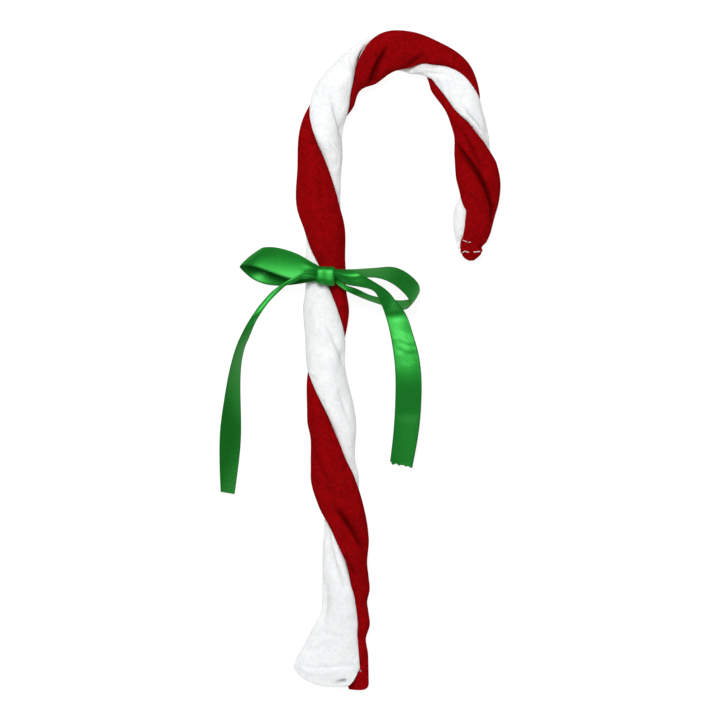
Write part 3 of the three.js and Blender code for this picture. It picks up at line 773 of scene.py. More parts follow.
# Each run is a row of stations. A station holds the two edges of the ribbon there, and where the
# ribbon curls across its width also the corner that it curls towards.
LEFT_LOOP = [
    [[-26.6, 64.4, 34.5], [-26.6, 56.7, 35]], [[-34.3, 68.6, 35.5], [-34.3, 56.7, 38.5]],
    [[-43.4, 73.7, 33.5], [-44.1, 55.7, 39.3]], [[-55.6, 77.7, 31.2], [-55.3, 58.3, 38.2]],
    [[-63, 78.6, 29.3], [-70, 63.7, 35.2]], [[-68.6, 77.9, 27.2], [-79.1, 66.1, 32]],
    [[-70.4, 76, 25], [-83.6, 65.5, 27.5]], [[-67.9, 72.8, 21.5], [-81.9, 62.3, 22]],
    [[-59.5, 69.3, 19.5], [-75.6, 57, 19]], [[-49.7, 67.9, 23], [-64.4, 52.6, 20.5]],
    [[-39.9, 65.8, 29], [-47.6, 52.4, 26]], [[-29.4, 63.7, 33], [-30.8, 55, 32.5]],
]
LEFT_TAIL = [
    [[-27, 62.5, 34.5], [-27, 56, 34.5]], [[-31, 62.4, 37.6], [-31, 56.6, 37.6]],
    [[-38.4, 61.3, 39.6], [-38.2, 57.2, 39.3]], [[-46.9, 57, 40.6], [-45.2, 54.1, 39.9]],
    [[-52.6, 53.7, 40.1], [-51.1, 51.9, 39.7]], [[-56.8, 50.8, 39.4], [-55, 48.6, 39.4]],
    [[-60.3, 48.1, 39.1], [-57.9, 45.8, 39.4]], [[-65.8, 42.5, 39.3], [-63.2, 40.2, 39.8]],
    [[-70.4, 37, 39.8], [-67.3, 34.7, 40.3]], [[-74.3, 31.5, 39.7], [-70.8, 29.3, 39.6]],
    [[-78, 25.9, 37.6], [-73.8, 23.8, 35.6]], [[-81, 20.4, 34.2], [-76.2, 18.5, 27.5]],
    [[-85, 12.2, 29.5], [-80, 10.5, 16.5]], [[-91, -7, 22.5], [-83.8, -7, 6]],
    [[-95.2, -29.4, 18.5], [-84, -31.5, 4]], [[-98, -50.4, 15], [-83.8, -53.2, 3]],
    [[-98.4, -68.6, 14.5], [-85, -68.6, 2]], [[-97.5, -92.4, 15], [-88.4, -94.5, 1.2]],
]
# Near the knot the left tail is creased lengthways. This is the part that hangs from its edge.
LEFT_TAIL_FOLD = [
    [[-45.2, 54.1, 39.9], [-45.4, 54, 37]], [[-51.1, 51.9, 39.7], [-51.4, 51.9, 31.5]],
    [[-55, 48.6, 39.4], [-55.6, 49, 28.5]], [[-57.9, 45.8, 39.4], [-58.7, 46.4, 27.5]],
    [[-63.2, 40.2, 39.8], [-64, 40.8, 27]], [[-67.3, 34.7, 40.3], [-68.2, 35.3, 27]],
    [[-70.8, 29.3, 39.6], [-71.9, 29.8, 26.5]], [[-73.8, 23.8, 35.6], [-75, 24.2, 24.5]],
    [[-76.2, 18.5, 27.5], [-77, 18.7, 20.5]], [[-80, 10.5, 16.5], [-80.1, 10.6, 15.9]],
]
RIGHT_LOOP = [
    [[-23.1, 63, 33], [-23.1, 58.1, 35]], [[-14, 63, 31.5], [-13.3, 57.8, 35]],
    [[-5.6, 63.2, 26], [-4.9, 57.4, 35]], [[3.5, 63.8, 22.5], [4.2, 57.4, 37]],
    [[14, 64.6, 22.5], [14.7, 56.4, 38.5]], [[23.1, 64.8, 24], [23.8, 52.2, 37.5]],
    [[30.8, 62, 24], [29.4, 47.6, 36]], [[37.1, 57.4, 22.5], [32.9, 43.8, 35]],
    [[41.3, 51.8, 21], [34.5, 40.6, 34]], [[41, 46.2, 18.5], [34.3, 37.1, 32.7]],
    [[35.7, 42.7, 16], [29.9, 35, 30]], [[26.6, 41.7, 14.5], [21.7, 36.4, 28]],
    [[15.4, 43.4, 16], [12.6, 39.2, 27.5]], [[5.6, 45.9, 22], [3.5, 42.4, 30]],
    [[-3.5, 50.1, 31.5], [-5.6, 46.2, 33.4]], [[-10.5, 52.5, 33], [-12.6, 49.9, 33.4]],
    [[-18.2, 57.8, 32.2], [-18.2, 54.6, 33]], [[-23.1, 60.2, 32.5], [-23.1, 56.7, 33.5]],
]
RIGHT_TAIL = [
    [[-23.1, 63.7, 35], [-23.1, 56, 35]],
    [[-15.4, 63, 36], [-16.1, 56.4, 35], [-15.7, 59.8, 40.5]],
    [[-10.2, 62.4, 38], [-10.8, 53.3, 35.5], [-10.5, 58, 42.5]],
    [[-2.1, 60.6, 41], [-4.5, 51.5, 36.5], [-3.2, 56, 42]],
    [[4.2, 57.4, 42.5], [1.8, 50.5, 36]], [[13, 52.2, 42], [10.1, 47.5, 35.5]],
    [[20.5, 46.5, 40.5], [13.7, 41.3, 35.2]], [[25.2, 40.6, 38], [15.8, 36.4, 34]],
    [[30.5, 34.3, 33.9], [17.5, 31.5, 32.5]], [[36.3, 19.6, 35.4], [20.2, 21.7, 34.2]],
    [[40.6, 4.5, 37.1], [23.1, 5.6, 36.2]], [[42.6, -11.2, 37.2], [24.5, -9.1, 36.7]],
    [[42.7, -28, 33.6], [24.5, -28, 33.1]], [[41.3, -47.6, 26], [23.5, -47.6, 25.6]],
    [[36.7, -74.9, 15.5], [20.9, -72.1, 15.5]],
]
RIBBON_RUNS = [
    {"stations": LEFT_LOOP, "gathered": ("start", "end"), "pleats": 2, "fold": 0.25, "cup": -1.0,
     "phase": 0.4},
    {"stations": LEFT_TAIL, "gathered": ("start",), "pleats": 2, "fold": 0.4, "cup": -0.35,
     "phase": 1.1},
    {"stations": LEFT_TAIL_FOLD, "gathered": (), "pleats": 1, "fold": 0.0, "cup": 0.3,
     "phase": 0.0},
    {"stations": RIGHT_LOOP, "gathered": ("start", "end"), "pleats": 2, "fold": 0.5, "cup": 0.5,
     "phase": 2.0, "crinkled": (14.4, 16.2, 0.1)},
    {"stations": RIGHT_TAIL, "gathered": ("start",), "pleats": 2, "fold": 0.12, "cup": 0.6,
     "phase": 2.6, "crinkled": (9.0, 10.5, 0.07), "ripples": [[12.45, 0.42, 4.5]],
     "frayed": 0.55},
]


CRINKLE_SPANS = (4, 11)
CRINKLE_FADE = 5
FRAY_SPANS = (1.6, 6.0)
FRAY_REACH = 5

# The knot's band and the turn round the shaft, in millimetres, about the middle line at the tie.
# "used" is the stretch of ribbon, in metres, that its woven map gives to each.
KNOT = {
    "half_length": 6.2, "half_tall": 4.1, "half_width": 6.45, "back": 1.6, "height": 33.9,
    "squareness": 3.2, "rolled": 0.75, "rolled_power": 9, "pleat": 0.10, "skew": 0.6,
    "used": 0.034,
}
WRAP = {
    "half_width": 4.3, "back": 1.0, "clear": 0.2, "pleat": 0.5, "pleat_middle": 0.55,
    "lowest": 0.4, "used": 0.088,
}


def station_rows(stations):
    """First edge, second edge and corner of each station, midway where no corner is given."""
    rows = []
    for one, two, *corner in stations:
        middle = [(a + b) / 2 for a, b in zip(one, two)]
        rows.append([one, two, corner[0] if corner else middle])
    return np.array(rows, float)


def ribbon_run(run, bow):
    """One run of ribbon as a grid of points and its (along, across) places in metres.

    Edges and corners are smooth curves through the stations. Each cross line is the quadratic
    Bezier curve from edge to edge by way of the corner, and the cup moves that corner out. Near
    a gathered end sine pleats take up a share of the ribbon's spare width.
    """
    stations = station_rows(run["stations"])
    chord = chord_length(stations[:, :2].mean(1))
    steps = int(chord[-1] / (bow.run_step / MM)) + 1
    at = np.linspace(0, chord[-1], steps)
    one, two, corner = (natural_spline(chord, stations[:, i], at) for i in range(3))
    across = np.linspace(0, 1, bow.cross_points)[None, :, None]
    heading = np.gradient((one + two) / 2, axis=0)
    off = normalised(np.cross(two - one, heading))
    width = np.linalg.norm(two - one, axis=1)
    near = np.full(steps, np.inf)
    if "start" in run["gathered"]:
        near = np.minimum(near, at)
    if "end" in run["gathered"]:
        near = np.minimum(near, chord[-1] - at)
    gather = np.exp(-((near / (bow.pleat_reach / MM)) ** 2))
    corner = corner + off * (2 * run["cup"] * (1 - gather))[:, None]
    grid = (
        one[:, None] * (1 - across) ** 2
        + corner[:, None] * 2 * across * (1 - across)
        + two[:, None] * across**2
    )
    place = across[..., 0]
    full = bow.ribbon_width / MM
    spare = np.clip(full / width, 1, 3) - 1
    high = width / run["pleats"] / math.pi * np.sqrt(spare) * gather * run["fold"]
    turn = 2 * math.pi * run["pleats"] * place + run["phase"] + 0.05 * at[:, None]
    lift = high[:, None] * np.sin(turn)
    index = np.arange(len(chord))
    for where, height, half_width in run.get("ripples", ()):
        bell = np.exp(-(((at - np.interp(where, index, chord)) / half_width) ** 2))
        lift = lift + height * bell[:, None]
    if "crinkled" in run:
        start, end, height = run["crinkled"]
        start, end = np.interp([start, end], index, chord)
        weight = smooth_step(start - CRINKLE_FADE, start + CRINKLE_FADE, at)
        weight *= 1 - smooth_step(end - CRINKLE_FADE, end + CRINKLE_FADE, at)
        lift = lift + height * weight[:, None] * slow_waves(
            at[:, None], place * full, CRINKLE_SEED, *CRINKLE_SPANS
        )
    grid = grid + off[:, None] * lift[..., None]
    if "frayed" in run:
        jag = run["frayed"] * slow_waves(0.0, place * full, FRAY_SEED, *FRAY_SPANS)
        slide = jag * smooth_step(chord[-1] - FRAY_REACH, chord[-1], at)[:, None]
        grid = grid + normalised(heading)[:, None] * slide[..., None]
    u = np.broadcast_to(at[:, None] * MM, grid.shape[:2])
    v = np.broadcast_to(place * bow.ribbon_width, grid.shape[:2])
    return grid, np.stack([u, v], -1)


def band_map(turn, across, used, width):
    """Places on the woven map of a band that goes round once."""
    u, v = np.broadcast_arrays(turn / (2 * math.pi) * used, (across + 1) / 2 * width)
    return np.stack([u, v], -1)


def knot_band(bow):
    """The turn that is drawn tight over the middle of the bow.

    A closed loop round the X axis: its section is a superellipse, drawn in at both side edges,
    and one shallow pleat runs round it askew.
    """
    centre = on_middle_line(LINE_POINTS, TIE_AT)
    turn = np.linspace(0, 2 * math.pi, 97)[:, None]
    across = np.linspace(-1, 1, bow.cross_points)[None, :]
    power = 2 / KNOT["squareness"]
    cosine, sine = np.cos(turn), np.sin(turn)
    y = np.sign(cosine) * np.abs(cosine) ** power
    z = np.sign(sine) * np.abs(sine) ** power
    rolled = KNOT["rolled"] * np.abs(across) ** KNOT["rolled_power"]
    pleat = KNOT["pleat"] * np.cos(1.6 * math.pi * across + 0.5 + 1.2 * turn)
    half_length = KNOT["half_length"] + KNOT["skew"] * across + pleat - rolled
    half_tall = KNOT["half_tall"] + pleat - rolled
    x = np.broadcast_to(KNOT["half_width"] * across, half_tall.shape)
    y = centre[1] - KNOT["back"] - KNOT["skew"] * across + y * half_length
    grid = np.stack([centre[0] + x, y, KNOT["height"] + z * half_tall], -1)
    return grid, band_map(turn, across, KNOT["used"], bow.ribbon_width)


def wrap_band(bow):
    """The gathered ribbon round the squeezed shaft: an oval loop with sine pleats along it."""
    centre = on_middle_line(LINE_POINTS, TIE_AT)
    turn = np.linspace(0, 2 * math.pi, 145)[:, None]
    across = np.linspace(-1, 1, 2 * bow.cross_points - 1)[None, :]
    wave = np.cos(3 * math.pi * across + 0.4 * np.sin(3 * turn))
    lift = AIR_GAP + WRAP["clear"] + (WRAP["pleat_middle"] + WRAP["pleat"] * wave)
    x = np.sin(turn) * (TIE_RADIUS + lift)
    z = np.cos(turn) * (TIE_HALF_HEIGHT + lift)
    askew = 1.2 * np.sin(turn)
    y = WRAP["half_width"] * across - WRAP["back"] - askew + 0.35 * np.sin(2 * turn + 0.7)
    grid = np.stack([centre[0] + x, centre[1] + y, TIE_CENTRE_HEIGHT + z], -1)
    grid[..., 2] = np.maximum(grid[..., 2], WRAP["lowest"])
    return grid, band_map(turn, across, WRAP["used"], bow.ribbon_width)


def grid_faces(rows, columns, offset):
    """Quads of a grid of points, numbered from offset."""
    row, k = np.meshgrid(np.arange(rows - 1), np.arange(columns - 1), indexing="ij")
    here = offset + row * columns + k
    return np.stack([here, here + 1, here + columns + 1, here + columns], -1).reshape(-1, 4)


def ribbon_sheet(grids, thickness):
    """Closed thin shells: each grid twice, half the thickness to each side, with its rim.

    The rim joins the two copies round the grid's border, so every shell is closed.
    """
    points, uvs, faces, offset = [], [], [], 0
    for grid, uv in grids:
        rows, columns, _ = grid.shape
        along = np.gradient(grid, axis=0)
        cross = np.gradient(grid, axis=1)
        normal = normalised(np.cross(along, cross))
        top, bottom = grid + normal * thickness / 2, grid - normal * thickness / 2
        points += [top.reshape(-1, 3), bottom.reshape(-1, 3)]
        uvs += [uv.reshape(-1, 2), uv.reshape(-1, 2)]
        count = rows * columns
        faces.append(grid_faces(rows, columns, offset)[:, ::-1])
        faces.append(grid_faces(rows, columns, offset + count))
        index = np.arange(count).reshape(rows, columns)
        border = np.concatenate(
            [index[0, :-1], index[:-1, -1], index[-1, :0:-1], index[:0:-1, 0]]
        )
        following = np.roll(border, -1)
        faces.append(
            np.stack([border, following, following + count, border + count], -1) + offset
        )
        offset += 2 * count
    return np.concatenate(points), faces, np.concatenate(uvs)


# ------------------------------------------------------------------ materials


def new_material(name):
    """An empty material with a principled shader wired to its output."""
    material = bpy.data.materials.new(name)
    material.use_nodes = True
    tree = material.node_tree
    tree.nodes.clear()
    output = tree.nodes.new("ShaderNodeOutputMaterial")
    shader = tree.nodes.new("ShaderNodeBsdfPrincipled")
    tree.links.new(shader.outputs["BSDF"], output.inputs["Surface"])
    return material, tree, shader


def set_inputs(tree, made, inputs):
    """Link a node's inputs to sockets, or set them to values."""
    for key, value in inputs.items():
        if isinstance(value, bpy.types.NodeSocket):
            tree.links.new(value, made.inputs[key])
        else:
            made.inputs[key].default_value = value


def node(tree, kind, inputs=None, **settings):
    """A node with its settings and its inputs."""
    made = tree.nodes.new(kind)
    for key, value in settings.items():
        setattr(made, key, value)
    set_inputs(tree, made, inputs or {})
    return made


def noise(tree, place, scale, detail=2.0, roughness=0.5, stretch=None, turn=(0, 0, 0)):
    """Value of a noise pattern at a place, with its own stretch and turn."""
    if stretch is not None:
        place = node(
            tree, "ShaderNodeMapping", {"Vector": place, "Scale": stretch, "Rotation": turn}
        ).outputs["Vector"]
    inputs = {"Vector": place, "Scale": scale, "Detail": detail, "Roughness": roughness}
    return node(tree, "ShaderNodeTexNoise", inputs).outputs[0]


def maths(tree, operation, a, b=0.0, c=0.0):
    """Result of a sum on two or three values."""
    return node(tree, "ShaderNodeMath", {0: a, 1: b, 2: c}, operation=operation).outputs[0]


def blend_colours(tree, factor, first, second):
    """The first colour where the factor is 0 and the second where it is 1."""
    inputs = {"Factor": factor, "A": first, "B": second}
    made = node(tree, "ShaderNodeMix", data_type="RGBA")
    for key, value in inputs.items():
        socket = next(s for s in made.inputs if s.name == key and s.enabled)
        if isinstance(value, bpy.types.NodeSocket):
            tree.links.new(value, socket)
        else:
            socket.default_value = value
    return next(s for s in made.outputs if s.enabled)


def ramp(tree, value, low, high):
    """0 where the value is below low and 1 above high, and smooth between them."""
    return node(
        tree, "ShaderNodeMapRange",
        {"Value": value, "From Min": low, "From Max": high},
        interpolation_type="SMOOTHSTEP",
    ).outputs[0]


def felt_fibres(tree, place):
    """Fine crossing fibres: ridges of noise stretched along three directions, the highest kept."""
    kept = None
    for turn in ((0.3, 0.2, 0.5), (1.2, -0.4, 1.7), (-0.5, 0.9, 2.6)):
        value = noise(tree, place, 1.0, 1.0, 0.5, (260, 2600, 2600), turn)
        ridge = maths(tree, "ABSOLUTE", maths(tree, "SUBTRACT", value, 0.5))
        fibre = maths(tree, "SUBTRACT", 1.0, ramp(tree, ridge, 0.0, 0.09))
        kept = fibre if kept is None else maths(tree, "MAXIMUM", kept, fibre)
    return kept


def felt_material(name, colours, fibre_share, speck_colour, crease_shade):
    """Matt felt: patches, mottling and crossing fibres in colour and relief, and painted crease
    shade.
    """
    material, tree, shader = new_material(name)
    place = node(tree, "ShaderNodeTexCoord").outputs["Object"]
    patches = noise(tree, place, 130.0, 3.0)
    mottle = noise(tree, place, 420.0, 3.0, 0.6)
    grain = noise(tree, place, 1900.0, 2.0, 0.6)
    fibres = felt_fibres(tree, place)
    mix = maths(tree, "MULTIPLY_ADD", mottle, 0.5, maths(tree, "MULTIPLY", patches, 0.25))
    mix = maths(tree, "MULTIPLY_ADD", grain, 0.25, mix)
    colour = blend_colours(tree, ramp(tree, mix, 0.35, 0.60), colours[0], colours[1])
    light = maths(tree, "MULTIPLY", fibres, fibre_share)
    colour = blend_colours(tree, light, colour, colours[2])
    cells = node(
        tree, "ShaderNodeTexVoronoi", {"Vector": place, "Scale": 260.0, "Randomness": 1.0}
    ).outputs["Distance"]
    speck = maths(tree, "SUBTRACT", 1.0, ramp(tree, cells, 0.03, 0.09))
    rare = ramp(tree, noise(tree, place, 120.0, 1.0), 0.60, 0.66)
    speck = maths(tree, "MULTIPLY", maths(tree, "MULTIPLY", speck, rare), 0.6)
    colour = blend_colours(tree, speck, colour, speck_colour)
    # Painted shade: the stored crease shade blends the colour towards black, standing in for
    # shade.
    painted_crease_shade = node(tree, "ShaderNodeAttribute", attribute_name="painted_crease_shade").outputs["Fac"]
    shade = maths(tree, "MULTIPLY", painted_crease_shade, crease_shade)
    colour = blend_colours(tree, shade, colour, (0.0, 0.0, 0.0, 1.0))
    relief = maths(tree, "MULTIPLY_ADD", fibres, 0.35, maths(tree, "MULTIPLY", mottle, 0.9))
    relief = maths(tree, "MULTIPLY_ADD", grain, 0.35, relief)
    bump = node(
        tree, "ShaderNodeBump", {"Height": relief, "Strength": 0.55, "Distance": 0.0005}
    )
    set_inputs(tree, shader, {
        "Base Color": colour, "Normal": bump.outputs["Normal"], "Roughness": 0.95,
        "Specular IOR Level": 0.0, "Diffuse Roughness": 0.2,
    })
    return material


def satin_material(name, colours, width):
    """Glossy woven satin on the ribbon's own (along, across) map.

    Threads are noise stretched across the ribbon, and firm edges are the two outer strips.
    """
    material, tree, shader = new_material(name)
    place = node(tree, "ShaderNodeUVMap", uv_map="cloth_run").outputs["UV"]
    threads = noise(tree, place, 1.0, 2.0, 0.5, (4200, 70, 1))
    floats = noise(tree, place, 1.0, 2.0, 0.5, (160, 5200, 1))
    across = node(tree, "ShaderNodeSeparateXYZ", {0: place}).outputs["Y"]
    from_middle = maths(tree, "ABSOLUTE", maths(tree, "SUBTRACT", across, width / 2))
    edge = ramp(tree, from_middle, width / 2 - 0.0013, width / 2 - 0.0007)
    weave = maths(tree, "MULTIPLY_ADD", threads, 0.6, maths(tree, "MULTIPLY", floats, 0.4))
    colour = blend_colours(tree, ramp(tree, weave, 0.3, 0.7), colours[0], colours[1])
    colour = blend_colours(tree, maths(tree, "MULTIPLY", edge, 0.4), colour, colours[2])
    rough = maths(tree, "MULTIPLY_ADD", weave, 0.12, 0.375)
    rough = maths(tree, "MULTIPLY_ADD", edge, 0.2, rough)
    relief = maths(tree, "MULTIPLY_ADD", edge, 1.5, weave)
    bump = node(
        tree, "ShaderNodeBump", {"Height": relief, "Strength": 0.5, "Distance": 0.00012}
    )
    set_inputs(tree, shader, {
        "Base Color": colour, "Roughness": rough, "Normal": bump.outputs["Normal"],
        "Metallic": 0.6, "Specular IOR Level": 0.1, "Coat Weight": 0.15,
        "Coat Roughness": 0.32, "Specular Tint": (0.10, 0.62, 0.14, 1.0),
    })
    return material


def colour_of(value):
    """A property's colour with full alpha."""
    return (*value, 1.0)


# ------------------------------------------------------------------ settings


def length_setting(name, description, metres):
    """A length in metres that the panel shows."""
    return FloatProperty(name=name, description=description, default=metres, unit="LENGTH")


def share_setting(name, description, share):
    """A share that the panel shows."""
    return FloatProperty(name=name, description=description, default=share, subtype="FACTOR")


def number_setting(name, description, value):
    """A plain number that the panel shows."""
    return FloatProperty(name=name, description=description, default=value)


def count_setting(name, description, count):
    """A whole number that the panel shows."""
    return IntProperty(name=name, description=description, default=count)


def colour_setting(name, description, colour):
    """A colour that the panel shows."""
    return FloatVectorProperty(
        name=name, description=description, default=colour, subtype="COLOR"
    )


class CaneSettings(bpy.types.PropertyGroup):
    """Sizes and colours of the felt strands."""

    row_step: length_setting("Row step", "Spacing of the felt's rows along the cane", 0.0008)
    close_rows: length_setting(
        "Close rows", "Stretch before the tip where the rows lie closer", 0.026
    )
    lobe_points: count_setting("Lobe points", "Points across the round side of a strand", 91)
    wall_points: count_setting("Wall points", "Points on a strand's hidden flat side", 7)
    lip_rows: count_setting("Lip rows", "Rows in the rolled lip at the foot", 8)
    groove_depth: share_setting(
        "Groove depth", "Radius at the bottom of the groove, as a share", 0.48
    )
    lobe_squareness: number_setting("Lobe squareness", "Higher makes the grooves narrower", 3.6)
    stuffing_waves: length_setting(
        "Stuffing waves", "Height of the uneven stuffing's slow waves", 0.00028,
    )
    coarse_rows: count_setting("Coarse rows", "One row in this many goes into the simulation", 4)
    coarse_across: count_setting(
        "Coarse across", "One point in this many goes into the simulation", 3
    )
    held_from: share_setting(
        "Held from", "Place across the lobe beyond which the felt is held", 0.9
    )
    felt_pressure: number_setting("Felt pressure", "Pressure of the stuffing", 4.0)
    felt_bending: number_setting("Felt bending", "How hard the felt is to bend", 0.3)
    felt_excess: share_setting("Felt excess", "How much too large the felt is, as a share", 0.05)
    relief_span: length_setting(
        "Relief span", "Longest stretch of the cane that one ripple covers", 0.02,
    )
    relief_cap: length_setting("Relief cap", "Limit on the simulated relief", 0.0003)
    red_dark: colour_setting(
        "Red, dark", "Darkest mottling of the red felt", (0.132, 0.0004, 0.0010)
    )
    red_light: colour_setting(
        "Red, light", "Lightest mottling of the red felt", (0.278, 0.0012, 0.0022),
    )
    red_fibre: colour_setting("Red fibres", "Loose fibres on the red felt", (0.44, 0.006, 0.008))
    white_dark: colour_setting(
        "White, dark", "Darkest mottling of the white felt", (0.80, 0.825, 0.835),
    )
    white_light: colour_setting(
        "White, light", "Lightest mottling of the white felt", (0.955, 0.965, 0.97),
    )
    white_fibre: colour_setting(
        "White fibres", "Loose fibres on the white felt", (0.97, 0.97, 0.97)
    )


class BowSettings(bpy.types.PropertyGroup):
    """Sizes and colours of the satin ribbon."""

    ribbon_width: length_setting("Ribbon width", "Width of the ribbon laid flat", 0.0182)
    ribbon_length: length_setting(
        "Ribbon length",
        "Both loops, both tails, the knot and the turn round the shaft, laid flat",
        0.75,
    )
    ribbon_thickness: length_setting("Ribbon thickness", "Thickness of the satin", 0.00035)
    run_step: length_setting("Run step", "Spacing of the cross lines along the ribbon", 0.0011)
    cross_points: count_setting("Cross points", "Points across the ribbon", 37)
    pleat_reach: length_setting("Pleat reach", "How far the pleats run from the knot", 0.011)
    satin_dark: colour_setting("Satin, dark", "Darker threads of the satin", (0.008, 0.185, 0.017))
    satin_light: colour_setting(
        "Satin, light", "Lighter threads of the satin", (0.015, 0.25, 0.028)
    )
    satin_edge: colour_setting("Satin edge", "The ribbon's firm edges", (0.005, 0.12, 0.012))


class StageSettings(bpy.types.PropertyGroup):
    """The camera, the light and the floor."""

    camera_height: length_setting("Camera height", "Height of the camera above the surface", 2.536)
    lens: number_setting("Lens", "Focal length of the camera, in millimetres", 180.0)
    key_power: number_setting("Key light", "Power of the large softbox, in watts", 42.0)
    fill_power: number_setting("Low light", "Power of the low softbox at the foot, in watts", 6.0)
    world_strength: number_setting("Room light", "Strength of the even light from all round", 0.25)


# ------------------------------------------------------------------ operators


def mark_painted_crease_shade(piece, painted_crease_shade):
    """Keep each point's painted crease shade, which darkens the felt's colour. The poles get none.
    """
    layer = piece.data.attributes.new("painted_crease_shade", "FLOAT", "POINT")
    values = np.zeros(len(piece.data.vertices), np.float32)
    values[: painted_crease_shade.size] = painted_crease_shade.ravel()
    layer.data.foreach_set("value", values)


def finish_piece(piece, material):
    """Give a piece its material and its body."""
    piece.data.materials.append(material)
    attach(piece, "root")


class CANE_OT_red_strand(bpy.types.Operator):
    """The red felt strand"""

    bl_idname = "cane.red_strand"
    bl_label = "Red strand"

    def execute(self, context):
        settings = context.scene.candy_cane
        (points, faces), painted_crease_shade = build_strand(RED_STRAND, settings)
        piece = make_mesh("felt_red_strand", points, faces)
        mark_painted_crease_shade(piece, painted_crease_shade)
        material = felt_material(
            "Red felt",
            [colour_of(c) for c in (settings.red_dark, settings.red_light, settings.red_fibre)],
            0.35, (0.5, 0.12, 0.12, 1.0), 0.58,
        )
        finish_piece(piece, material)
        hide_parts("red_strand")
        return {"FINISHED"}


class CANE_OT_white_strand(bpy.types.Operator):
    """The white felt strand"""

    bl_idname = "cane.white_strand"
    bl_label = "White strand"

    def execute(self, context):
        settings = context.scene.candy_cane
        (points, faces), painted_crease_shade = build_strand(WHITE_STRAND, settings)
        piece = make_mesh("felt_white_strand", points, faces)
        mark_painted_crease_shade(piece, painted_crease_shade)
        colours = (settings.white_dark, settings.white_light, settings.white_fibre)
        material = felt_material(
            "White felt", [colour_of(c) for c in colours], 0.5, (0.75, 0.45, 0.47, 1.0), 0.25
        )
        finish_piece(piece, material)
        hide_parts("white_strand")
        return {"FINISHED"}


class CANE_OT_stitches(bpy.types.Operator):
    """The white stitches round the neck of the tip, and a loose end at the foot"""

    bl_idname = "cane.stitches"
    bl_label = "Stitches"

    def execute(self, context):
        red = bpy.data.objects["felt_red_strand"]
        paths = [lay_thread(red, stitch) for stitch in STITCHES]
        points, faces = thread_tubes(paths, [stitch["radius"] for stitch in STITCHES])
        piece = make_mesh("cotton_stitches", points, faces)
        material, tree, shader = new_material("White cotton")
        place = node(tree, "ShaderNodeTexCoord").outputs["Object"]
        twist = noise(tree, place, 1.0, 2.0, 0.6, (900, 2600, 900), (0, 0, 0.6))
        colour = blend_colours(tree, twist, (0.62, 0.50, 0.50, 1.0), (0.95, 0.90, 0.90, 1.0))
        set_inputs(tree, shader, {"Base Color": colour, "Roughness": 0.8})
        finish_piece(piece, material)
        return {"FINISHED"}


class CANE_OT_ribbon(bpy.types.Operator):
    """The satin ribbon: two loops, two tails, the wrap and the knot"""

    bl_idname = "cane.ribbon"
    bl_label = "Ribbon bow"

    def execute(self, context):
        bow = context.scene.candy_cane_bow
        grids = [ribbon_run(run, bow) for run in RIBBON_RUNS]
        grids += [wrap_band(bow), knot_band(bow)]
        points, faces, uv = ribbon_sheet(grids, bow.ribbon_thickness / MM)
        piece = make_mesh("satin_ribbon_bow", points, faces, uv)
        colours = (bow.satin_dark, bow.satin_light, bow.satin_edge)
        material = satin_material("Green satin", [colour_of(c) for c in colours], bow.ribbon_width)
        finish_piece(piece, material)
        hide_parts("ribbon_bow")
        return {"FINISHED"}


FLOOR_HALF = 4000.0
FLOOR_HEIGHT = -0.4
FLOOR_TONES = ((0.15, 0.15, 0.15, 1), (0.165, 0.165, 0.165, 1))
FLOOR_GLOW = 0.91
KEY_SOFTBOX = {"location": (-0.25, 0.7, 2.15), "size": 0.7}
LOW_SOFTBOX = {"location": (0.1, -1.9, 1.15), "size": 0.5}


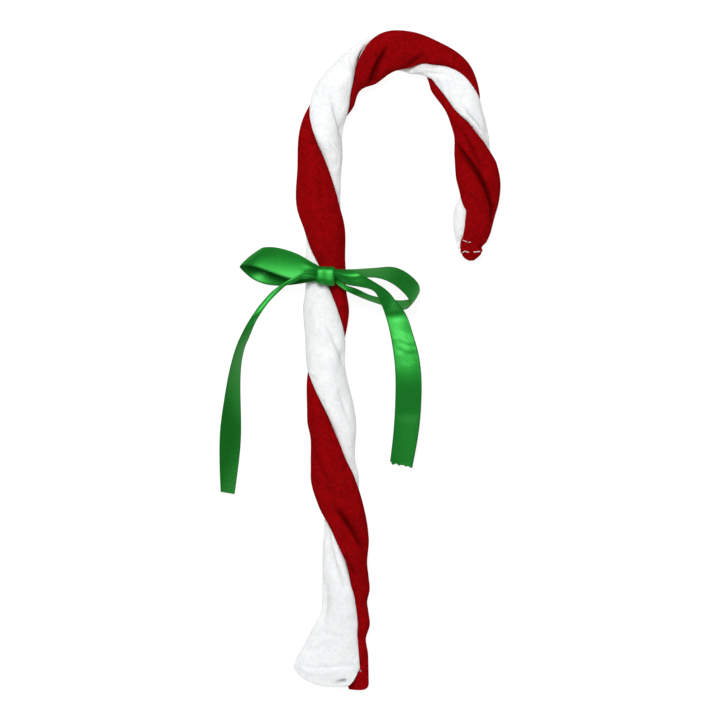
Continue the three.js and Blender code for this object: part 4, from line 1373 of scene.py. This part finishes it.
class CANE_OT_stage(bpy.types.Operator):
    """The floor, the light and the camera"""

    bl_idname = "cane.stage"
    bl_label = "Stage"

    def execute(self, context):
        stage = context.scene.candy_cane_stage
        half = FLOOR_HALF
        plan = [(-half, -half), (half, -half), (half, half), (-half, half)]
        corners = np.array([[x, y, FLOOR_HEIGHT] for x, y in plan])
        floor = make_mesh("stage_floor", corners, [np.array([[0, 1, 2, 3]])])
        material, tree, shader = new_material("Pale floor")
        place = node(tree, "ShaderNodeTexCoord").outputs["Object"]
        tone = noise(tree, place, 3.0, 1.0)
        colour = blend_colours(tree, tone, *FLOOR_TONES)
        set_inputs(tree, shader, {
            "Base Color": colour, "Roughness": 0.9, "Emission Color": (1, 1, 1, 1),
            "Emission Strength": FLOOR_GLOW,
        })
        floor.data.materials.append(material)

        world = bpy.data.worlds.new("Even room light")
        world.use_nodes = True
        background = world.node_tree.nodes["Background"]
        light = {"Color": (0.98, 0.99, 1.0, 1), "Strength": stage.world_strength}
        set_inputs(world.node_tree, background, light)
        context.scene.world = world
        add_softbox("Key softbox", power=stage.key_power, **KEY_SOFTBOX)
        add_softbox("Low softbox", power=stage.fill_power, **LOW_SOFTBOX)

        camera = bpy.data.cameras.new("Camera")
        camera.lens = stage.lens
        camera.sensor_width = 36.0
        camera.clip_end = 50.0
        viewer = bpy.data.objects.new("Camera", camera)
        viewer.location = (0.0, 0.0, stage.camera_height)
        context.scene.collection.objects.link(viewer)
        context.scene.camera = viewer
        context.scene.view_settings.view_transform = "Standard"
        return {"FINISHED"}


def add_softbox(name, location, size, power):
    """A square area light turned towards the cane."""
    light = bpy.data.lights.new(name, "AREA")
    light.shape = "SQUARE"
    light.size = size
    light.energy = power
    box = bpy.data.objects.new(name, light)
    box.location = location
    x, y, z = location
    box.rotation_euler = (math.atan2(math.hypot(x, y), z), 0.0, math.atan2(x, -y))
    bpy.context.scene.collection.objects.link(box)


class CANE_PT_panel(bpy.types.Panel):
    """Lists the steps in the 3D view's sidebar"""

    bl_label = "Candy cane"
    bl_idname = "CANE_PT_panel"
    bl_space_type = "VIEW_3D"
    bl_region_type = "UI"
    bl_category = "Candy cane"

    def draw(self, context):
        for settings in ("candy_cane", "candy_cane_bow", "candy_cane_stage"):
            group = getattr(context.scene, settings)
            box = self.layout.box()
            for key in group.__annotations__:
                box.prop(group, key)
        for step in OPERATORS:
            self.layout.operator(step.bl_idname)


GROUPS = {
    "candy_cane": CaneSettings,
    "candy_cane_bow": BowSettings,
    "candy_cane_stage": StageSettings,
}
OPERATORS = (
    CANE_OT_red_strand,
    CANE_OT_white_strand,
    CANE_OT_stitches,
    CANE_OT_ribbon,
    CANE_OT_stage,
)


def register():
    for made in (*GROUPS.values(), *OPERATORS, CANE_PT_panel):
        bpy.utils.register_class(made)
    for name, group in GROUPS.items():
        setattr(bpy.types.Scene, name, PointerProperty(type=group))


def unregister():
    for name in GROUPS:
        delattr(bpy.types.Scene, name)
    for made in (CANE_PT_panel, *reversed(OPERATORS), *reversed(GROUPS.values())):
        bpy.utils.unregister_class(made)


def main():
    """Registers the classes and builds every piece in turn."""
    register()
    for step in OPERATORS:
        group, name = step.bl_idname.split(".")
        getattr(getattr(bpy.ops, group), name)()
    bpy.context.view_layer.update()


if __name__ == "__main__":
    main()
